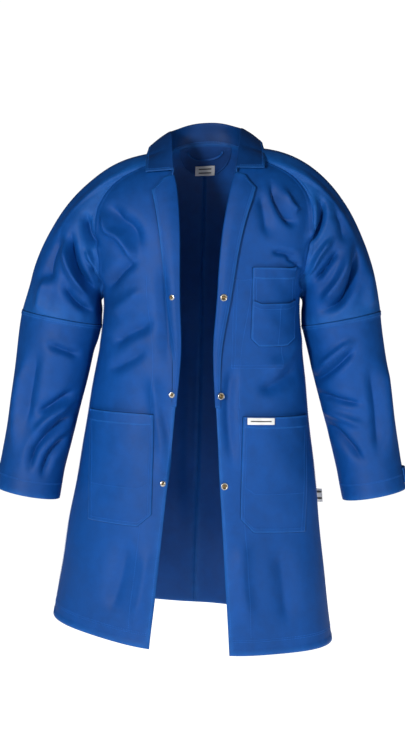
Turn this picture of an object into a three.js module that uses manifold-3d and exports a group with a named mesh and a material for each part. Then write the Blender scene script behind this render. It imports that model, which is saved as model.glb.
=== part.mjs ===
// A knee-length lab coat in its worn shape: raglan sleeves, notched collar, open front with snaps.
// Units are millimetres, +Z is up, the fronts face -Y and +X is the wearer's left.
// The origin is where the coat sits on the shoulders, midway between the neck sides.

import * as THREE from 'three';
import { mergeVertices } from 'three/addons/utils/BufferGeometryUtils.js';
import Module from 'manifold-3d';

const wasm = await Module();
wasm.setup();

// ---------------------------------------------------------------- driving dimensions

const fabric = 1.5; // thickness of one layer of cloth with its seam allowance
const layerGap = 0.9; // clearance between two layers of cloth, which follow the same curve in facets
const seamGap = 0.4; // clearance between two panels that meet edge to edge
const hingeGap = 0.9; // clearance around a panel that turns about a seam
const snapGap = 0.5; // clearance between a snap part and the cloth it is pressed on
const raglanGap = 1.6; // clearance along the raglan seam, where two panels meet at an angle

const coatLength = 940; // shoulder seat to the side hem
const frontDip = 23; // how much lower the front corners hang than the side hem
const chestHalfWidth = 236;
const chestHalfDepth = 135;
const armpitDepth = 292; // shoulder seat down to the armpit
const armpitHalfWidth = 194;
const waistDepth = 400;
const waistHalfWidth = 201;
const waistHalfDepth = 146;
const hemHalfWidth = 272;
const hemHalfDepth = 178;
const sectionPower = 2.6; // roundness of the torso's horizontal section, 2 is an ellipse

const neckHalfWidth = 78;
const neckHalfDepth = 62;
const backNeckRise = 18; // the centre back of the neckline above the shoulder seat
const collarStand = 36;
const collarSeat = 4; // the foot of the collar above the neckline
const collarFoldHalfWidth = 68;
const collarTipX = 116;
const collarTipZ = -46;
const gorgeZ = -54; // where the collar ends on the lapel
const gorgeX = 61;

const openingAtChest = 38; // half of the gap between the front edges, at the break of the lapel
const openingAtWaist = 33;
const openingAtHem = 75;
const openingShift = 6; // the gap sits this far towards the wearer's right
const breakZ = -300; // height where the lapel's roll ends
const lapelTipX = 103;
const lapelTipZ = -83;
const lapelEndZ = -500;
const flapTopZ = -515; // height where the skirt of the front is free to swing

const neckSeamZ = -12; // height where the front raglan seam leaves the neckline
const backSeamAngle = 50; // where the back raglan seam leaves it, degrees from the centre back
const chestSeamAngle = 60; // where the raglan seams cross the chest and the back

const armLean = 10.8; // degrees that the sleeve stands out from the vertical
const armRingX = 279; // centre of the sleeve at the mid-arm seam
const armRingZ = -335;
const sleeveLength = 353; // mid-arm seam to the cuff edge
const elbowAt = 155; // mid-arm seam to the elbow
const armRadius = 79;
const elbowRadius = 70;
const cuffRadius = 63;
const sleeveDepthRatio = 1.04; // front-to-back size of the sleeve over its width
const forearmReach = 18; // how far the cuff hangs in front of the elbow

const cuffHem = 30;
const cuffTabLength = 62;
const cuffTabWidth = 28;
const cuffTabAt = 326; // mid-arm seam to the middle of the cuff tab

const lowerPocketWidth = 126;
const lowerPocketHeight = 216;
const lowerPocketX = 147; // middle of the pocket
const lowerPocketTopZ = -517;
const chestPocketWidth = 84;
const chestPocketHeight = 150;
const chestPocketX = 138;
const chestPocketTopZ = -234;
const penPocketHeight = 82;
const innerPocketWidth = 96;
const innerPocketHeight = 170;
const innerPocketX = 108;
const innerPocketTopZ = -256;
const pocketDepth = 11; // how far a patch pocket stands off the coat
const chestPocketDepth = 10;
const pocketChamfer = 26;

const snapHeights = [-290, -478, -648];
const snapCapRadius = 7;
const snapInnerRadius = 5.4;
const snapThickness = 2;
const snapEdge = 9; // snap centre to the front edge

const hangerWidth = 70;
const hangerDrop = 16;
const hangerRadius = 2.2;

// The coat hangs a little askew: it leans across and its hem rises on the wearer's right.
const leanAtShoulder = 6;
const leanPerHeight = 0.0255;
const tiltAtShoulder = 0.04;
const tiltPerHeight = 0.000133;

// ---------------------------------------------------------------- materials

const cloth = { color: 0x15509a, roughness: 0.75, metalness: 0 };
const metal = { color: 0xb8b4a8, roughness: 0.3, metalness: 1 };
const labelCloth = { color: 0xeeeeea, roughness: 0.8, metalness: 0 };

// ---------------------------------------------------------------- helpers

const degrees = Math.PI / 180;
const mix = THREE.MathUtils.lerp;
const clamp01 = (t) => THREE.MathUtils.clamp(t, 0, 1);
const ease = (t) => THREE.MathUtils.smoothstep(t, 0, 1);
const vec = (x, y, z) => new THREE.Vector3(x, y, z);

// A smooth value through stations [place, value], places falling.
function through(stations, place) {
  const last = stations.length - 1;
  if (place >= stations[0][0]) return stations[0][1];
  if (place <= stations[last][0]) return stations[last][1];
  let i = 0;
  while (place < stations[i + 1][0]) i += 1;
  const slopeAt = (k) => {
    const a = stations[Math.max(k - 1, 0)];
    const b = stations[Math.min(k + 1, last)];
    return (b[1] - a[1]) / (b[0] - a[0]);
  };
  const [p0, v0] = stations[i];
  const [p1, v1] = stations[i + 1];
  const t = (place - p0) / (p1 - p0);
  const h = p1 - p0;
  const rise = v1 - v0;
  const start = slopeAt(i) * h;
  const end = slopeAt(i + 1) * h;
  return v0 + t * start + t * t * (3 * rise - 2 * start - end) + t * t * t * (start + end - 2 * rise);
}

// Moves a point of the straight coat to where it hangs when worn. Below its mid-arm seam a sleeve
// hangs straight down, while the body goes on leaning.
function worn(p, onArm = false) {
  const z = onArm ? Math.max(p.z, armRingZ) : p.z;
  return vec(
    p.x + leanAtShoulder + leanPerHeight * z,
    p.y,
    p.z + (tiltAtShoulder + tiltPerHeight * z) * p.x,
  );
}

// ---------------------------------------------------------------- torso form

const waistZ = -waistDepth;
const armpitZ = -armpitDepth;
const hemZ = -coatLength;
const neckTopZ = backNeckRise + 12;

const widthStations = [
  [neckTopZ, neckHalfWidth - 6],
  [0, neckHalfWidth],
  [-30, mix(neckHalfWidth, chestHalfWidth, 0.4)],
  [-55, mix(neckHalfWidth, chestHalfWidth, 0.68)],
  [-100, mix(neckHalfWidth, chestHalfWidth, 0.94)],
  [-160, chestHalfWidth],
  [-220, mix(armpitHalfWidth, chestHalfWidth, 0.72)],
  [armpitZ, armpitHalfWidth],
  [waistZ, waistHalfWidth],
];
const depthStations = [
  [neckTopZ, neckHalfDepth - 4],
  [0, neckHalfDepth],
  [-30, mix(neckHalfDepth, chestHalfDepth, 0.36)],
  [-55, mix(neckHalfDepth, chestHalfDepth, 0.56)],
  [-100, mix(neckHalfDepth, chestHalfDepth, 0.8)],
  [-160, chestHalfDepth],
  [-220, mix(chestHalfDepth, waistHalfDepth, 0.6)],
  [armpitZ, waistHalfDepth],
  [waistZ, waistHalfDepth],
];

// Below the waist the side seam is a straight line, so the skirt can turn about it.
function halfWidth(z) {
  if (z > waistZ) return through(widthStations, z);
  return mix(waistHalfWidth, hemHalfWidth, (waistZ - z) / (waistZ - hemZ));
}

function halfDepth(z) {
  if (z > waistZ) return through(depthStations, z);
  return mix(waistHalfDepth, hemHalfDepth, (waistZ - z) / (waistZ - hemZ));
}

// A point of the torso form: angle 0 is the centre front, 90 the side, 180 the centre back.
function torsoPoint(angle, z) {
  const across = Math.sin(angle * degrees);
  const along = Math.cos(angle * degrees);
  const power = 2 / sectionPower;
  return vec(
    halfWidth(z) * Math.abs(across) ** power,
    -halfDepth(z) * Math.sign(along) * Math.abs(along) ** power,
    z,
  );
}

// The same form looked up by how far the point lies from the centre line.
function angleAt(x, z) {
  return Math.asin(clamp01(x / halfWidth(z)) ** (sectionPower / 2)) / degrees;
}

const frontPoint = (x, z) => torsoPoint(angleAt(x, z), z);
const backPoint = (x, z) => torsoPoint(180 - angleAt(x, z), z);

// The back of the neckline rises towards the centre back.
const neckRise = (angleFromBack) => backNeckRise * ease(1 - angleFromBack / 90);
const backSeamZ = neckRise(backSeamAngle);

// Angle of a raglan seam from the centre line, from its start at the neck to the armpit.
const plateauEndZ = armpitZ + 92;
function seamAngle(z, startAngle, startZ) {
  const rise = (chestSeamAngle - startAngle) * ease((startZ - z) / 55);
  const sweep = clamp01((plateauEndZ - z) / (plateauEndZ - armpitZ));
  return startAngle + rise + (90 - chestSeamAngle) * sweep ** 2;
}

const frontSeamAngle = (z) => seamAngle(z, angleAt(neckHalfWidth, neckSeamZ), neckSeamZ);
const rearSeamAngle = (z) => seamAngle(z, backSeamAngle, backSeamZ);

// Half of the front gap: it narrows from the neck to the waist and widens to the hem.
function frontEdge(side, z) {
  const stations = [
    [0, neckHalfWidth],
    [gorgeZ, gorgeX],
    [-100, 52],
    [-180, 43],
    [breakZ, openingAtChest],
    [waistZ, openingAtWaist],
    [-600, 46],
    [-700, 54],
    [hemZ - frontDip, openingAtHem],
  ];
  return through(stations, z) - side * openingShift * ease(z / -260);
}

// ---------------------------------------------------------------- sleeve form

const armDown = vec(Math.sin(armLean * degrees), 0, -Math.cos(armLean * degrees));
const armOut = vec(Math.cos(armLean * degrees), 0, Math.sin(armLean * degrees));
const armFront = vec(0, -1, 0);
const armRing = vec(armRingX, 0, armRingZ);

function sleeveRadius(s) {
  if (s < elbowAt) return mix(armRadius, elbowRadius, s / elbowAt);
  return mix(elbowRadius, cuffRadius, clamp01((s - elbowAt) / (sleeveLength - elbowAt) * 1.4));
}

function sleeveCentre(s) {
  const past = clamp01((s - elbowAt) / (sleeveLength - elbowAt));
  return armRing.clone().addScaledVector(armDown, s).addScaledVector(armFront, forearmReach * past ** 2);
}

// A point of the sleeve: angle 0 is the outer side, 90 the front, 180 the side next to the body.
function sleevePoint(angle, s) {
  const r = sleeveRadius(s);
  return sleeveCentre(s)
    .addScaledVector(armOut, r * Math.cos(angle * degrees))
    .addScaledVector(armFront, r * sleeveDepthRatio * Math.sin(angle * degrees));
}

// The edge of the raglan sleeve, once around: turn 0 is the shoulder end of the neckline,
// 0.5 is the armpit, the first half is the front seam and the second half the back seam.
const neckShare = 0.1; // share of each half of the turn that runs along the neckline

function raglanEdge(turn) {
  const front = turn <= 0.5;
  const half = front ? turn * 2 : (1 - turn) * 2;
  if (half < neckShare) {
    const along = half / neckShare;
    if (front) return frontPoint(neckHalfWidth, neckSeamZ * along);
    return torsoPoint(90 + (90 - backSeamAngle) * along, neckRise(90 - (90 - backSeamAngle) * along));
  }
  const z = mix(front ? neckSeamZ : backSeamZ, armpitZ, (half - neckShare) / (1 - neckShare));
  const nearNeck = 1 - ease((half - neckShare) / 0.35);
  const gap = raglanGap * (1 + 2 * nearNeck);
  const angle = (front ? frontSeamAngle(z) : rearSeamAngle(z)) + gap / halfWidth(z) / degrees;
  return torsoPoint(Math.min(front ? angle : 180 - angle, front ? 90 : 180), z);
}

// The raglan sleeve between its edge and the mid-arm seam, as one Bezier curve for each turn.
function raglanPoint(turn, along) {
  const half = turn <= 0.5 ? turn * 2 : (1 - turn) * 2;
  const faces = turn <= 0.5 ? 1 : -1;
  const under = ease((half - 0.62) / 0.38);
  const over = 1 - ease(half / 0.45);
  const edge = raglanEdge(turn);
  const ring = sleevePoint(faces * 180 * half, 0);
  const reach = edge.distanceTo(ring);
  const leave = vec(1, -0.18 * faces * (1 - over) * (1 - under), mix(-0.55, -0.1, Math.max(over, under))).normalize();
  const lift = mix(0.36, 0.24, under);
  const a = edge.clone().addScaledVector(leave, reach * lift);
  const b = ring.clone().addScaledVector(armDown, -reach * mix(0.36, 0.42, over));
  return new THREE.CubicBezierCurve3(edge, a, b, ring).getPoint(along);
}

// ---------------------------------------------------------------- solid builders

function signedVolume(geometry) {
  const p = geometry.attributes.position;
  const index = geometry.index.array;
  const [a, b, c] = [vec(0, 0, 0), vec(0, 0, 0), vec(0, 0, 0)];
  let volume = 0;
  for (let i = 0; i < index.length; i += 3) {
    a.fromBufferAttribute(p, index[i]);
    b.fromBufferAttribute(p, index[i + 1]);
    c.fromBufferAttribute(p, index[i + 2]);
    volume += a.dot(b.cross(c)) / 6;
  }
  return volume;
}

// One closed body: shared corners merged, faces pointing out.
function closed(geometry) {
  geometry.deleteAttribute('normal');
  geometry.deleteAttribute('uv');
  const merged = mergeVertices(geometry, 1e-3);
  if (signedVolume(merged) < 0) {
    const index = merged.index.array;
    for (let i = 0; i < index.length; i += 3) {
      [index[i], index[i + 1]] = [index[i + 1], index[i]];
    }
  }
  return merged;
}

// The unit normal of a surface at (u, v), pointing away from the middle line.
function outward(surface, u, v, middle) {
  const step = 0.004;
  const du = surface(Math.min(u + step, 1), v).sub(surface(Math.max(u - step, 0), v));
  const dv = surface(u, Math.min(v + step, 1)).sub(surface(u, Math.max(v - step, 0)));
  const normal = du.cross(dv).normalize();
  const here = surface(u, v);
  return normal.dot(here.sub(middle(here))) < 0 ? normal.negate() : normal;
}

const torsoMiddle = (p) => vec(0, 0, p.z);
const armMiddle = (p) => {
  const s = p.clone().sub(armRing).dot(armDown);
  return sleeveCentre(s);
};

// A sheet of cloth over surface(u, v), between two heights above the surface.
function sheet(surface, low, high, cols, rows, middle = torsoMiddle) {
  const box = new THREE.BoxGeometry(1, 1, 1, cols, rows, 1);
  const p = box.attributes.position;
  for (let i = 0; i < p.count; i += 1) {
    const u = p.getX(i) + 0.5;
    const v = p.getY(i) + 0.5;
    const height = p.getZ(i) < 0 ? low : high;
    const at = surface(u, v).addScaledVector(outward(surface, u, v, middle), height);
    p.setXYZ(i, at.x, at.y, at.z);
  }
  return closed(box);
}

// A tube of cloth over surface(turn, along), open at both ends.
function sleeve(surface, low, high, cols, rows, middle = armMiddle) {
  const around = 2 * rows + 2;
  const ring = new THREE.TorusGeometry(2, 1, around, cols);
  const p = ring.attributes.position;
  const uv = ring.attributes.uv;
  const wrapped = (u, v) => surface(((u % 1) + 1) % 1, v);
  for (let i = 0; i < p.count; i += 1) {
    const turn = Math.round(uv.getX(i) * cols) % cols / cols;
    const step = Math.round(uv.getY(i) * around) % around;
    const outside = step <= rows;
    const along = outside ? step / rows : (2 * rows + 1 - step) / rows;
    const du = wrapped(turn + 0.01, along).sub(wrapped(turn - 0.01, along));
    const dv = surface(turn, Math.min(along + 0.01, 1)).sub(surface(turn, Math.max(along - 0.01, 0)));
    const normal = du.cross(dv).normalize();
    const here = surface(turn, along);
    if (normal.dot(here.clone().sub(middle(here))) < 0) normal.negate();
    const at = here.addScaledVector(normal, outside ? high : low);
    p.setXYZ(i, at.x, at.y, at.z);
  }
  return closed(ring);
}

function toManifold(geometry) {
  const vertProperties = new Float32Array(geometry.attributes.position.array);
  const triVerts = new Uint32Array(geometry.index.array);
  return new wasm.Manifold(new wasm.Mesh({ numProp: 3, vertProperties, triVerts }));
}

function fromManifold(solid) {
  const mesh = solid.getMesh();
  const geometry = new THREE.BufferGeometry();
  geometry.setAttribute('position', new THREE.BufferAttribute(new Float32Array(mesh.vertProperties), 3));
  geometry.setIndex(new THREE.BufferAttribute(new Uint32Array(mesh.triVerts), 1));
  return geometry;
}

// ---------------------------------------------------------------- patch pockets

// The outline of a patch pocket: a rectangle with its lower corners cut off where asked.
// u runs from the front edge to the side, v from the bottom to the top.
function pocketSurface(spec, inset) {
  const { x, topZ, width, height, chamferFront, chamferSide } = spec;
  const half = width / 2 - inset;
  const corner = pocketChamfer / width;
  const top = inset > 0 ? topZ + 3 : topZ;
  return (u, v) => {
    const nearFront = clamp01((corner - u) / corner) * chamferFront;
    const nearSide = clamp01((u + corner - 1) / corner) * chamferSide;
    const cut = Math.max(nearFront, nearSide) * pocketChamfer * 0.9;
    const z = mix(topZ - height + inset + cut, top, v);
    return torsoPoint(mix(angleAt(x - half, z), angleAt(x + half, z), u), z);
  };
}

// A pocket is a sheet sewn on round three sides: its hollow is open at the top.
function pocket(spec, base, depth, direction = 1) {
  const low = direction > 0 ? base : -base - depth;
  const high = direction > 0 ? base + depth : -base;
  const body = sheet(pocketSurface(spec, 0), low, high, 7, 4);
  const hollowLow = direction > 0 ? low - 1 : low + fabric;
  const hollowHigh = direction > 0 ? high - fabric : high + 1;
  const hollow = sheet(pocketSurface(spec, fabric + 1), hollowLow, hollowHigh, 7, 4);
  return fromManifold(toManifold(body).subtract(toManifold(hollow)));
}

// ---------------------------------------------------------------- the group of parts

const coat = new THREE.Group();
coat.name = 'lab_coat';

function add(name, geometry, look, side = 1, onArm = false) {
  const p = geometry.attributes.position;
  for (let i = 0; i < p.count; i += 1) {
    const at = worn(vec(side * p.getX(i), p.getY(i), p.getZ(i)), onArm);
    p.setXYZ(i, at.x, at.y, at.z);
  }
  if (side < 0) {
    const index = geometry.index.array;
    for (let i = 0; i < index.length; i += 3) {
      [index[i], index[i + 1]] = [index[i + 1], index[i]];
    }
  }
  geometry.computeVertexNormals();
  const mesh = new THREE.Mesh(geometry, new THREE.MeshStandardMaterial(look));
  mesh.name = name;
  coat.add(mesh);
}

// A round snap part standing on a surface point, between two heights above it.
function addSnap(name, surface, u, v, low, high, radius, side, middle = torsoMiddle) {
  const normal = outward(surface, u, v, middle);
  const centre = surface(u, v).addScaledVector(normal, low);
  const height = high - low;
  const profile = [
    new THREE.Vector2(0, 0),
    new THREE.Vector2(radius, 0),
    new THREE.Vector2(radius, height * 0.55),
    new THREE.Vector2(radius * 0.72, height),
    new THREE.Vector2(0, height * 0.8),
  ];
  const geometry = closed(new THREE.LatheGeometry(profile, 10));
  normal.x *= side;
  centre.x *= side;
  geometry.applyQuaternion(new THREE.Quaternion().setFromUnitVectors(vec(0, 1, 0), normal));
  const mesh = new THREE.Mesh(geometry, new THREE.MeshStandardMaterial(metal));
  mesh.name = name;
  mesh.position.copy(worn(centre, middle === armMiddle));
  coat.add(mesh);
}

const sides = [
  { side: 1, wearer: 'left' },
  { side: -1, wearer: 'right' },
];

// ---------------------------------------------------------------- backs and fronts

// One half of the back, from the centre seam to the side seam and the raglan seam.
function backPanel() {
  return (u, v) => {
    const topZ = neckRise(u * backSeamAngle) - seamGap;
    const z = mix(hemZ, topZ, v ** 0.6);
    const outer = z <= armpitZ ? 90 : rearSeamAngle(z);
    const trim = (hingeGap / 2 / halfWidth(z)) / degrees;
    return torsoPoint(180 - mix(angleAt(seamGap / 2, z), outer - trim, u), z);
  };
}

// The front above the skirt, from the roll of the lapel to the raglan and side seams.
const frontTopZ = neckSeamZ - 7;
function upperFront(side) {
  return (u, v) => {
    const z = mix(flapTopZ + hingeGap, frontTopZ, v ** 0.65);
    const outer = z <= armpitZ ? 90 : frontSeamAngle(z);
    const trim = (hingeGap / 2 / halfWidth(z)) / degrees;
    return torsoPoint(mix(angleAt(frontEdge(side, z), z), outer - trim, u), z);
  };
}

// The skirt front dips towards its corner, as a straight hem does on a flared skirt.
function skirtFront(side) {
  return (u, v) => {
    const low = hemZ - frontDip * (1 - u);
    const z = mix(low, flapTopZ, v);
    const trim = (hingeGap / 2 / halfWidth(z)) / degrees;
    return torsoPoint(mix(angleAt(frontEdge(side, z), z), 90 - trim, u), z);
  };
}

// The lapel and the turned-back edge below it, lying on the front.
function lapelWidth(z) {
  const full = lapelTipX - 58;
  if (z > lapelTipZ) return mix(full, full - 14, clamp01((z - lapelTipZ) / (gorgeZ - lapelTipZ)));
  const taper = clamp01((z - lapelEndZ) / (lapelTipZ - lapelEndZ));
  return mix(7, full, taper ** 1.25);
}

function lapelSurface(side) {
  return (u, v) => {
    const topZ = mix(gorgeZ - 8, lapelTipZ, u);
    const z = mix(lapelEndZ, topZ, v);
    return frontPoint(frontEdge(side, z) + 0.5 + u * lapelWidth(z), z);
  };
}

// The facing is the inner layer along the front edge of the skirt.
const facingWidth = 46;
function facingSurface(side, lowZ, highZ) {
  return (u, v) => {
    const z = mix(lowZ, highZ, v);
    return frontPoint(frontEdge(side, z) + 1 + u * facingWidth, z);
  };
}

for (const { side, wearer } of sides) {
  add(`${wearer}_back_panel`, sheet(backPanel(), 0, fabric, 12, 16), cloth, side);
  add(`${wearer}_front`, sheet(upperFront(side), 0, fabric, 12, 14), cloth, side);
  add(`${wearer}_front_skirt`, sheet(skirtFront(side), 0, fabric, 12, 5), cloth, side);
  const lapelLow = fabric + layerGap;
  add(`${wearer}_lapel`, sheet(lapelSurface(side), lapelLow, lapelLow + fabric, 2, 14), cloth, side);
  const facing = facingSurface(side, hemZ - frontDip * 0.8, flapTopZ);
  add(`${wearer}_front_facing`, sheet(facing, -layerGap - fabric, -layerGap, 2, 8), cloth, side);
}

// ---------------------------------------------------------------- raglan sleeves and sleeves

for (const { side, wearer } of sides) {
  const columns = 22;
  const raglan = (turn, along) => {
    const edgeTrim = mix(0.008, 0.07, ease((Math.min(turn, 1 - turn) * 2 - 0.7) / 0.3));
    return raglanPoint(turn, mix(edgeTrim, 1 - 0.002, along));
  };
  const raglanMiddle = (p) => {
    const s = Math.max(p.clone().sub(armRing).dot(armDown), -400);
    const inward = clamp01((armRingX - p.x) / armRingX) * 60;
    return sleeveCentre(s).add(vec(-inward, 0, -inward));
  };
  add(`${wearer}_raglan_sleeve`, sleeve(raglan, 0, fabric, columns, 8, raglanMiddle), cloth, side, true);
  const tube = (from, to) => (turn, along) => sleevePoint(360 * turn, mix(from, to, along));
  const elbowSleeve = tube(seamGap, elbowAt - hingeGap / 2);
  add(`${wearer}_elbow_sleeve`, sleeve(elbowSleeve, 0, fabric, columns, 4), cloth, side, true);
  const forearm = tube(elbowAt + hingeGap / 2, sleeveLength);
  add(`${wearer}_forearm_sleeve`, sleeve(forearm, 0, fabric, columns, 5), cloth, side, true);
  const hem = tube(sleeveLength - cuffHem, sleeveLength - 0.5);
  add(`${wearer}_cuff_hem`, sleeve(hem, -layerGap - fabric, -layerGap, columns, 1), cloth, side, true);
}

// ---------------------------------------------------------------- cuff tabs

// The tab is sewn down at its front end and wraps back round the outer side of the cuff.
const tabTurn = cuffTabLength / cuffRadius / degrees;
const tabFrontAngle = 18;

for (const { side, wearer } of sides) {
  const tab = (u, v) => {
    const angle = tabFrontAngle - u * tabTurn;
    return sleevePoint(angle, cuffTabAt + (v - 0.5) * cuffTabWidth);
  };
  const low = fabric + 3 * snapGap + snapThickness;
  add(`${wearer}_cuff_tab`, sheet(tab, low, low + fabric, 5, 1, armMiddle), cloth, side, true);
  const snapAt = 0.8;
  const capLow = low + fabric + snapGap;
  const studLow = fabric + snapGap;
  const snap = (name, from, to, radius) =>
    addSnap(`${wearer}_${name}`, tab, snapAt, 0.5, from, to, radius, side, armMiddle);
  snap('cuff_tab_cap', capLow, capLow + snapThickness, snapCapRadius);
  snap('cuff_stud', studLow, studLow + snapThickness, snapInnerRadius);
  const ringHigh = -layerGap - fabric - 2 * snapGap;
  snap('cuff_stud_ring', ringHigh - snapThickness, ringHigh, snapInnerRadius);
}

// ---------------------------------------------------------------- collar

// The collar is sewn along the neckline: u 0 and 1 are its two front ends, 0.5 is the centre back.
const backShare = 0.55; // share of each half of the collar that runs behind the shoulder point
function neckline(u) {
  const turn = Math.abs(u - 0.5) * 2;
  const sign = Math.sign(u - 0.5);
  if (turn < backShare) {
    const angle = 90 * (turn / backShare);
    const at = torsoPoint(180 - angle, neckRise(angle));
    return vec(sign * at.x, at.y, at.z);
  }
  const down = (turn - backShare) / (1 - backShare);
  const z = gorgeZ * down ** 1.3;
  const at = frontPoint(frontEdge(sign, z), z);
  return vec(sign * at.x, at.y - collarSeat * ease(down / 0.4), at.z);
}

// The fold of the collar, above the neckline, and the outer edge of its fall.
const frontShare = (u) => ease((Math.abs(u - 0.5) * 2 - 0.6) / 0.4);

function collarFold(u) {
  const base = neckline(u);
  const front = frontShare(u);
  const narrowed = mix(collarFoldHalfWidth / neckHalfWidth, 0.95, front);
  const height = mix(collarStand, 8, front);
  return vec(base.x * narrowed, base.y * mix(0.92, 1.02, front), base.z + height + collarSeat);
}

function collarEdge(u) {
  const turn = Math.abs(u - 0.5) * 2;
  const sign = Math.sign(u - 0.5);
  const down = clamp01((turn - 0.5) / 0.5) ** 1.5;
  const z = mix(0, collarTipZ, down);
  const reach = mix(neckHalfWidth + 26, collarTipX, turn);
  const x = mix(reach * Math.sin(turn / backShare * 90 * degrees), collarTipX, ease((turn - 0.45) / 0.3));
  const y = turn < backShare ? 92 * Math.cos((turn / backShare) * 90 * degrees) : 0;
  const front = frontPoint(Math.min(x, halfWidth(z) * 0.97), z);
  const blend = ease((turn - 0.5) / 0.3);
  return vec(sign * x, mix(y, front.y - 7, blend), z + mix(12, 4, down));
}

const standSurface = (u, v) => {
  const base = neckline(mix(0.01, 0.99, u)).add(vec(0, 0, collarSeat));
  return base.lerp(collarFold(mix(0.01, 0.99, u)), v);
};

const fallSurface = (u, v) => {
  const fold = collarFold(u).add(vec(0, 0, 1));
  const edge = collarEdge(u);
  const crest = fold.clone().lerp(edge, 0.35);
  const out = vec(crest.x, crest.y, 0).normalize();
  crest.addScaledVector(out, 9).add(vec(0, 0, 11));
  return new THREE.QuadraticBezierCurve3(edge, crest, fold).getPoint(v);
};

add('collar_stand', sheet(standSurface, -fabric, 0, 22, 2), cloth);
add('collar_fall', sheet(fallSurface, layerGap + 1, layerGap + 1 + fabric, 22, 4), cloth);

// Inside the back neck: a half-moon facing, a size label and the hanger loop.
const neckFacingDepth = 62;
const neckFacing = (u, v) => {
  const x = (u - 0.5) * 2 * 52;
  const topZ = neckRise(angleAt(Math.abs(x), backNeckRise / 2)) - 5;
  const z = mix(topZ - neckFacingDepth * Math.sqrt(1.02 - (2 * u - 1) ** 2), topZ, v);
  const at = backPoint(Math.abs(x), z);
  return vec(x, at.y, at.z);
};
const facingOuter = -2.8 * layerGap;
const facingInner = facingOuter - fabric;
add('back_neck_facing', sheet(neckFacing, facingInner, facingOuter, 8, 4), cloth);

const sizeLabelWidth = 40;
const sizeLabel = (u, v) => {
  const x = (u - 0.5) * sizeLabelWidth;
  const at = backPoint(Math.abs(x), mix(-46, -26, v));
  return vec(x, at.y, at.z);
};
add('size_label', sheet(sizeLabel, facingInner - layerGap - 0.8, facingInner - layerGap, 4, 1), labelCloth);

// The loop's two ends are sewn at the top of the facing, and its middle hangs below them.
const hangerZ = -2;
const hangerInner = facingInner - layerGap - hangerRadius;
function hangerPath() {
  const points = [];
  const steps = 12;
  for (let i = 0; i <= steps; i += 1) {
    const x = (i / steps - 0.5) * hangerWidth;
    const z = hangerZ - hangerDrop * Math.sqrt(Math.max(0, 1 - (2 * x / hangerWidth) ** 2));
    const surface = backPoint(Math.abs(x), z);
    points.push(vec(x, surface.y + hangerInner - 2 * layerGap, z));
  }
  return new THREE.CatmullRomCurve3(points);
}
const hangerSection = new THREE.Shape();
hangerSection.absarc(0, 0, hangerRadius, 0, 2 * Math.PI);
const hangerShape = new THREE.ExtrudeGeometry(hangerSection, {
  steps: 16,
  curveSegments: 4,
  bevelEnabled: false,
  extrudePath: hangerPath(),
});
add('hanger_loop', closed(hangerShape), cloth);

// ---------------------------------------------------------------- pockets and labels

const lowerPocket = {
  x: lowerPocketX,
  topZ: lowerPocketTopZ,
  width: lowerPocketWidth,
  height: lowerPocketHeight,
  chamferFront: 1,
  chamferSide: 0,
};
const chestPocket = {
  x: chestPocketX,
  topZ: chestPocketTopZ,
  width: chestPocketWidth,
  height: chestPocketHeight,
  chamferFront: 1,
  chamferSide: 1,
};
const penPocket = {
  ...chestPocket,
  topZ: chestPocketTopZ - chestPocketHeight + penPocketHeight,
  height: penPocketHeight,
};
const innerPocket = {
  x: innerPocketX,
  topZ: innerPocketTopZ,
  width: innerPocketWidth,
  height: innerPocketHeight,
  chamferFront: 0,
  chamferSide: 0,
};

const pocketBase = fabric + 1.4 * layerGap;
for (const { side, wearer } of sides) {
  add(`${wearer}_lower_pocket`, pocket(lowerPocket, pocketBase, pocketDepth), cloth, side);
}
add('chest_pocket', pocket(chestPocket, pocketBase, chestPocketDepth), cloth);
const penBase = pocketBase + chestPocketDepth + layerGap;
const penSurface = pocketSurface(penPocket, 0);
add('pen_pocket', sheet(penSurface, penBase, penBase + fabric, 7, 3), cloth);
add('inner_breast_pocket', pocket(innerPocket, 2.2 * layerGap, pocketDepth - 2, -1), cloth);

const labelBase = pocketBase + pocketDepth + layerGap;
const pocketLabel = (u, v) => frontPoint(lowerPocketX - 56 + u * 50, lowerPocketTopZ - 14 + v * 13);
add('pocket_label', sheet(pocketLabel, labelBase, labelBase + 0.6, 3, 1), labelCloth);

const flagLabel = (u, v) => {
  const z = mix(-692, -666, v);
  return torsoPoint(90, z).add(vec(fabric + layerGap + u * 13, 2, 0));
};
const flagMiddle = (p) => vec(p.x, p.y + 10, p.z);
add('side_flag_label', sheet(flagLabel, 0, 1, 1, 2, flagMiddle), labelCloth);

// ---------------------------------------------------------------- front snaps

for (const { side, wearer } of sides) {
  snapHeights.forEach((z, i) => {
    const onSkirt = z < flapTopZ;
    const surface = (u, v) => frontPoint(frontEdge(side, z) + snapEdge + (u - 0.5), z + (v - 0.5));
    const outerFace = (z > lapelEndZ ? fabric + layerGap : 0) + fabric + snapGap;
    const innerFace = (onSkirt ? -layerGap - fabric : 0) - snapGap;
    const number = i + 1;
    const names = side > 0 ? ['snap_cap', 'snap_socket'] : ['snap_stud', 'snap_ring'];
    addSnap(
      `${wearer}_${names[0]}_${number}`, surface, 0.5, 0.5,
      outerFace, outerFace + snapThickness, snapCapRadius, side,
    );
    addSnap(
      `${wearer}_${names[1]}_${number}`, surface, 0.5, 0.5,
      innerFace - snapThickness, innerFace, snapInnerRadius, side,
    );
  });
}

export default coat;
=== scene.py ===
"""A knee-length lab coat in royal-blue twill, worn open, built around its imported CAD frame.

Metres, +Z up. The fronts face -Y and +X is the wearer's left. Forms are written for the wearer's left
side and mirrored; side is 1 for the wearer's left and -1 for the right.
"""

import math

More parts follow.
